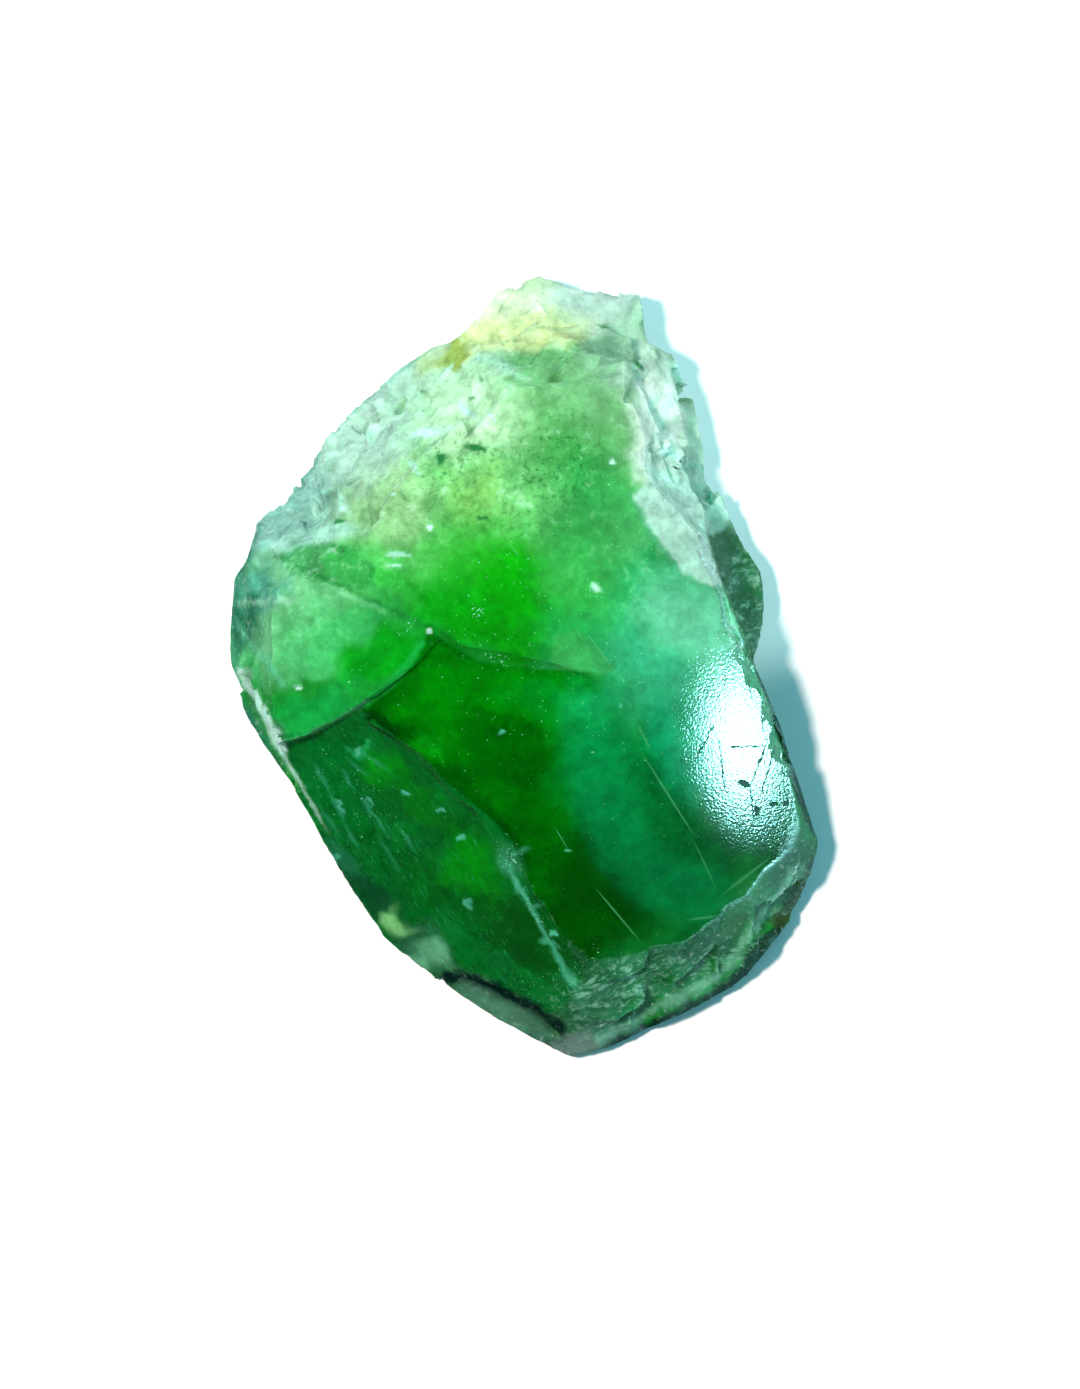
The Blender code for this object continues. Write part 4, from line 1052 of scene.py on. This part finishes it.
def fluorite_material():
    material = bpy.data.materials.new("fluorite")
    material.use_nodes = True
    tree = material.node_tree
    shader = tree.nodes["Principled BSDF"]

    place = calculate_vector(
        tree, "SCALE", put(tree, "ShaderNodeTexCoord").outputs["Object"], scale=1.0 / MM
    )
    plan = calculate_vector(tree, "MULTIPLY", place, (1.0, 1.0, 0.0))
    coarse = cloudiness(tree, place, 2.6, detail=5.0, roughness=0.62, distortion=0.2)
    medium = cloudiness(tree, place, 0.9, detail=5.0, roughness=0.62, distortion=0.3)
    fine = cloudiness(tree, place, 0.34, detail=3.0, roughness=0.6)
    dust = cloudiness(tree, place, 0.13, detail=0.0)
    threads = grain_along(tree, place, 30, (0.1, 1.1, 0.5))
    lines = grain_along(tree, place, 27, (0.3, 3.4, 1.0))
    flakes = grain_along(tree, place, -70, (0.34, 0.9, 0.5), detail=4.0, distortion=0.8)

    broken, milk, specks = share_of(tree, "broken"), share_of(tree, "milk"), share_of(tree, "specks")
    crumbs, streaks, gloss = share_of(tree, "crumbs"), share_of(tree, "streaks"), share_of(tree, "gloss")

    paint = put(tree, "ShaderNodeAttribute", attribute_name="paint").outputs["Color"]
    shade = calculate(
        tree, "MULTIPLY", rise(tree, coarse, 0.34, 0.66, 0.84, 1.16), rise(tree, medium, 0.3, 0.7, 0.86, 1.14)
    )
    shade = calculate(tree, "MULTIPLY", shade, rise(tree, fine, 0.3, 0.7, 0.94, 1.06))
    paint = calculate_vector(tree, "SCALE", paint, scale=shade)
    deep = calculate(tree, "MULTIPLY", milk, rise(tree, medium, 0.48, 0.34, 0.0, 0.24))
    paint = blend(tree, deep, paint, colour(*DEEP_FLECK))
    white = calculate(tree, "MULTIPLY", milk, rise(tree, medium, 0.54, 0.72, 0.0, 0.45))
    paint = blend(tree, white, paint, colour(*WHITE_MILK))
    dark = calculate(tree, "MULTIPLY", specks, rise(tree, fine, 0.46, 0.36, 0.0, 0.6))
    paint = blend(tree, dark, paint, colour(*DEEP_FLECK))
    frost = calculate(tree, "MULTIPLY", broken, rise(tree, fine, 0.56, 0.74, 0.0, 0.25))
    paint = blend(tree, frost, paint, colour(*FROST))
    patchy = calculate(tree, "MULTIPLY", streaks, rise(tree, coarse, 0.40, 0.62))
    shaded = calculate(tree, "MULTIPLY", streaks, rise(tree, lines, 0.50, 0.34, 0.0, 0.16))
    paint = blend(tree, shaded, paint, colour(*STREAK_SHADE))
    drawn = calculate(tree, "MULTIPLY", patchy, rise(tree, threads, 0.58, 0.72, 0.0, 0.5))
    paint = blend(tree, drawn, paint, colour(*STREAK))
    frosted = calculate(tree, "MULTIPLY", share_of(tree, "frosted"), rise(tree, flakes, 0.46, 0.66, 0.0, 0.9))
    frosted = calculate(tree, "MULTIPLY", frosted, rise(tree, medium, 0.40, 0.58))
    paint = blend(tree, frosted, paint, colour(*BAND_FROST))
    grown = calculate(tree, "MULTIPLY_ADD", crumbs, 0.36, fine)
    crumb = calculate(tree, "MULTIPLY", rise(tree, grown, 0.70, 0.82), rise(tree, crumbs, 0.0, 0.25))
    paint = blend(tree, crumb, paint, colour(*CRUMB))
    glint = calculate(tree, "MULTIPLY_ADD", share_of(tree, "sparkle"), 0.24, dust)
    glint = rise(tree, glint, 0.84, 0.92, 0.0, 0.75)
    paint = blend(tree, glint, paint, colour(*GLINT))
    pale = calculate(tree, "MULTIPLY", scratched(tree, plan, PALE_SCRATCHES), 0.4)
    paint = blend(tree, pale, paint, colour(*SCRATCH))
    jitter = put(tree, "ShaderNodeTexNoise", {"Vector": place, "Scale": 4.0, "Detail": 2.0}).outputs["Color"]
    jitter = calculate_vector(tree, "SUBTRACT", jitter, (0.5, 0.5, 0.5))
    ragged_plan = calculate_vector(tree, "MULTIPLY_ADD", jitter, (0.4, 0.4, 0.0), plan)
    cut = scratched(tree, ragged_plan, SCRATCHES_AND_EDGE_SHADE)
    # Dark on the scratches and pits, and painted shade along the glossy face's right edge
    paint = blend(tree, cut, paint, colour(0, 50, 24))
    tree.links.new(paint, shader.inputs["Base Color"])

    dull = calculate(tree, "MAXIMUM", calculate(tree, "MAXIMUM", broken, crumb), cut)
    roughness = rise(tree, dull, 0.0, 1.0, rise(tree, gloss, 0.0, 1.0, 0.10, 0.15), 0.72)
    tree.links.new(roughness, shader.inputs["Roughness"])
    peel = calculate(tree, "MULTIPLY", cloudiness(tree, place, 0.16, detail=1.0), gloss)
    grain = calculate(tree, "MULTIPLY", fine, broken)
    height = calculate(tree, "MULTIPLY_ADD", peel, 0.2, grain)
    height = calculate(tree, "MULTIPLY_ADD", cut, -0.8, height)
    height = calculate(tree, "MULTIPLY_ADD", crumb, 0.5, height)
    bump = put(tree, "ShaderNodeBump", {"Strength": 0.7, "Distance": 0.00012, "Height": height})
    tree.links.new(bump.outputs[0], shader.inputs["Normal"])

    shader.inputs["IOR"].default_value = 1.434
    shader.inputs["Transmission Weight"].default_value = 0.55
    shader.inputs["Subsurface Weight"].default_value = 0.5
    shader.inputs["Subsurface Radius"].default_value = (0.6, 1.0, 0.7)
    shader.inputs["Subsurface Scale"].default_value = 0.8 * MM
    absorb = put(tree, "ShaderNodeVolumeAbsorption", {"Color": ABSORBED, "Density": ABSORPTION})
    tree.links.new(absorb.outputs[0], tree.nodes["Material Output"].inputs["Volume"])
    return material


# Stage, light and camera

def mirrored(tree):
    """1 for light that a polished face mirrors, and 0 for all other light."""
    light = put(tree, "ShaderNodeLightPath")
    return calculate(
        tree, "MULTIPLY", light.outputs["Is Glossy Ray"], light.outputs["Is Reflection Ray"]
    )


def sheet_material():
    material = bpy.data.materials.new("white_sheet")
    material.use_nodes = True
    tree = material.node_tree
    shader = tree.nodes["Principled BSDF"]
    tree.links.new(
        blend(tree, mirrored(tree), SHEET_WHITE, MIRRORED_SHEET), shader.inputs["Base Color"]
    )
    shader.inputs["Roughness"].default_value = 0.9
    shader.inputs["Specular IOR Level"].default_value = 0.1
    return material


def sheet():
    bpy.ops.mesh.primitive_plane_add(size=4.0, location=(0.0, 0.0, -0.05 * MM))
    floor = bpy.context.active_object
    floor.name = "sheet"
    floor.data.materials.append(sheet_material())
    return floor


def aim(light_or_camera, at, target):
    light_or_camera.location = at
    way = Vector(target) - Vector(at)
    light_or_camera.rotation_euler = way.to_track_quat("-Z", "Y").to_euler()


def lamp(name, azimuth, elevation, distance, size, power, tint):
    """An oval lamp that shines on the fragment from an azimuth and elevation in degrees."""
    light = bpy.data.lights.new(name, "AREA")
    light.shape = "ELLIPSE"
    light.size, light.size_y = size
    light.energy = power
    light.color = tint
    made = bpy.data.objects.new(name, light)
    bpy.context.scene.collection.objects.link(made)
    az, high = math.radians(azimuth), math.radians(elevation)
    flat = distance * math.cos(high)
    at = (flat * math.cos(az), flat * math.sin(az), distance * math.sin(high))
    aim(made, at, (0.0, 0.0, 5 * MM))
    return made


def room():
    """Cool daylight, stronger from above and from +Y, which polished faces mirror only dimly."""
    world = bpy.data.worlds.new("room")
    world.use_nodes = True
    tree = world.node_tree
    way = put(tree, "ShaderNodeTexCoord").outputs["Generated"]
    parts = put(tree, "ShaderNodeSeparateXYZ", {"Vector": way})
    sky = blend(tree, rise(tree, parts.outputs["Z"], 0.0, 0.6), HORIZON, DAYLIGHT)
    sky = calculate_vector(tree, "SCALE", sky, scale=rise(tree, parts.outputs["Y"], -0.7, 0.7, 0.5, 1.5))
    sky = blend(tree, mirrored(tree), sky, MIRRORED_ROOM)
    seen = put(tree, "ShaderNodeLightPath").outputs["Is Camera Ray"]
    sky = blend(tree, seen, sky, BACKDROP)
    tree.links.new(sky, tree.nodes["Background"].inputs["Color"])
    world.cycles.sampling_method = "NONE"
    return world


def light_only(lights, piece):
    """Lets some lamps light one piece and nothing else."""
    lit = bpy.data.collections.new("lit_" + piece.name)
    lit.objects.link(piece)
    for made in lights:
        made.light_linking.receiver_collection = lit


def light_the_stage(piece, floor):
    key = lamp("key", 168, 75, 0.6, (0.06, 0.06), 6.2, (1.0, 0.86, 0.80))
    upper_fill = lamp("upper_fill", 115, 40, 0.6, (0.2, 0.2), 2.1, (0.7, 1.0, 1.1))
    side_fill = lamp("side_fill", 42, 36, 0.6, (0.2, 0.2), 2.0, (1.0, 0.96, 0.94))
    light_only((upper_fill, side_fill), piece)
    shadow_fill = lamp("shadow_fill", 60, 75, 0.6, (0.2, 0.2), 0.33, (0.5, 1.0, 1.2))
    upper_right_fill = lamp("upper_right_fill", 60, 60, 0.5, (0.02, 0.02), 5.7, (0.7, 1.0, 0.94))
    upper_right_fill.data.type = "SPOT"
    upper_right_fill.data.spot_size = math.radians(4.0)
    upper_right_fill.data.spot_blend = 0.4
    aim(upper_right_fill, upper_right_fill.location, UPPER_RIGHT)
    light_only((shadow_fill, upper_right_fill), floor)
    for made in (key, upper_fill, side_fill, shadow_fill, upper_right_fill):
        made.visible_glossy = False
        made.visible_transmission = False
    window_light = lamp("window_light", -17.5, 21.5, 0.5, (0.135, 0.16), 8.2, (0.34, 0.88, 0.92))
    window_light.visible_diffuse = False
    bpy.context.scene.world = room()


def camera():
    made = bpy.data.objects.new("camera", bpy.data.cameras.new("camera"))
    bpy.context.scene.collection.objects.link(made)
    made.data.lens = LENS
    made.location = CAMERA_AT
    bpy.context.scene.camera = made


def set_up_render():
    scene = bpy.context.scene
    scene.view_settings.view_transform = "Standard"
    scene.cycles.use_denoising = True
    scene.cycles.max_bounces = 10
    scene.cycles.transmission_bounces = 8
    scene.cycles.diffuse_bounces = 3


camera()
set_up_render()
fragment = crystal()
mark_surfaces(fragment)
fragment.data.materials.append(fluorite_material())
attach(fragment, "root")
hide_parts(NODE)
light_the_stage(fragment, sheet())
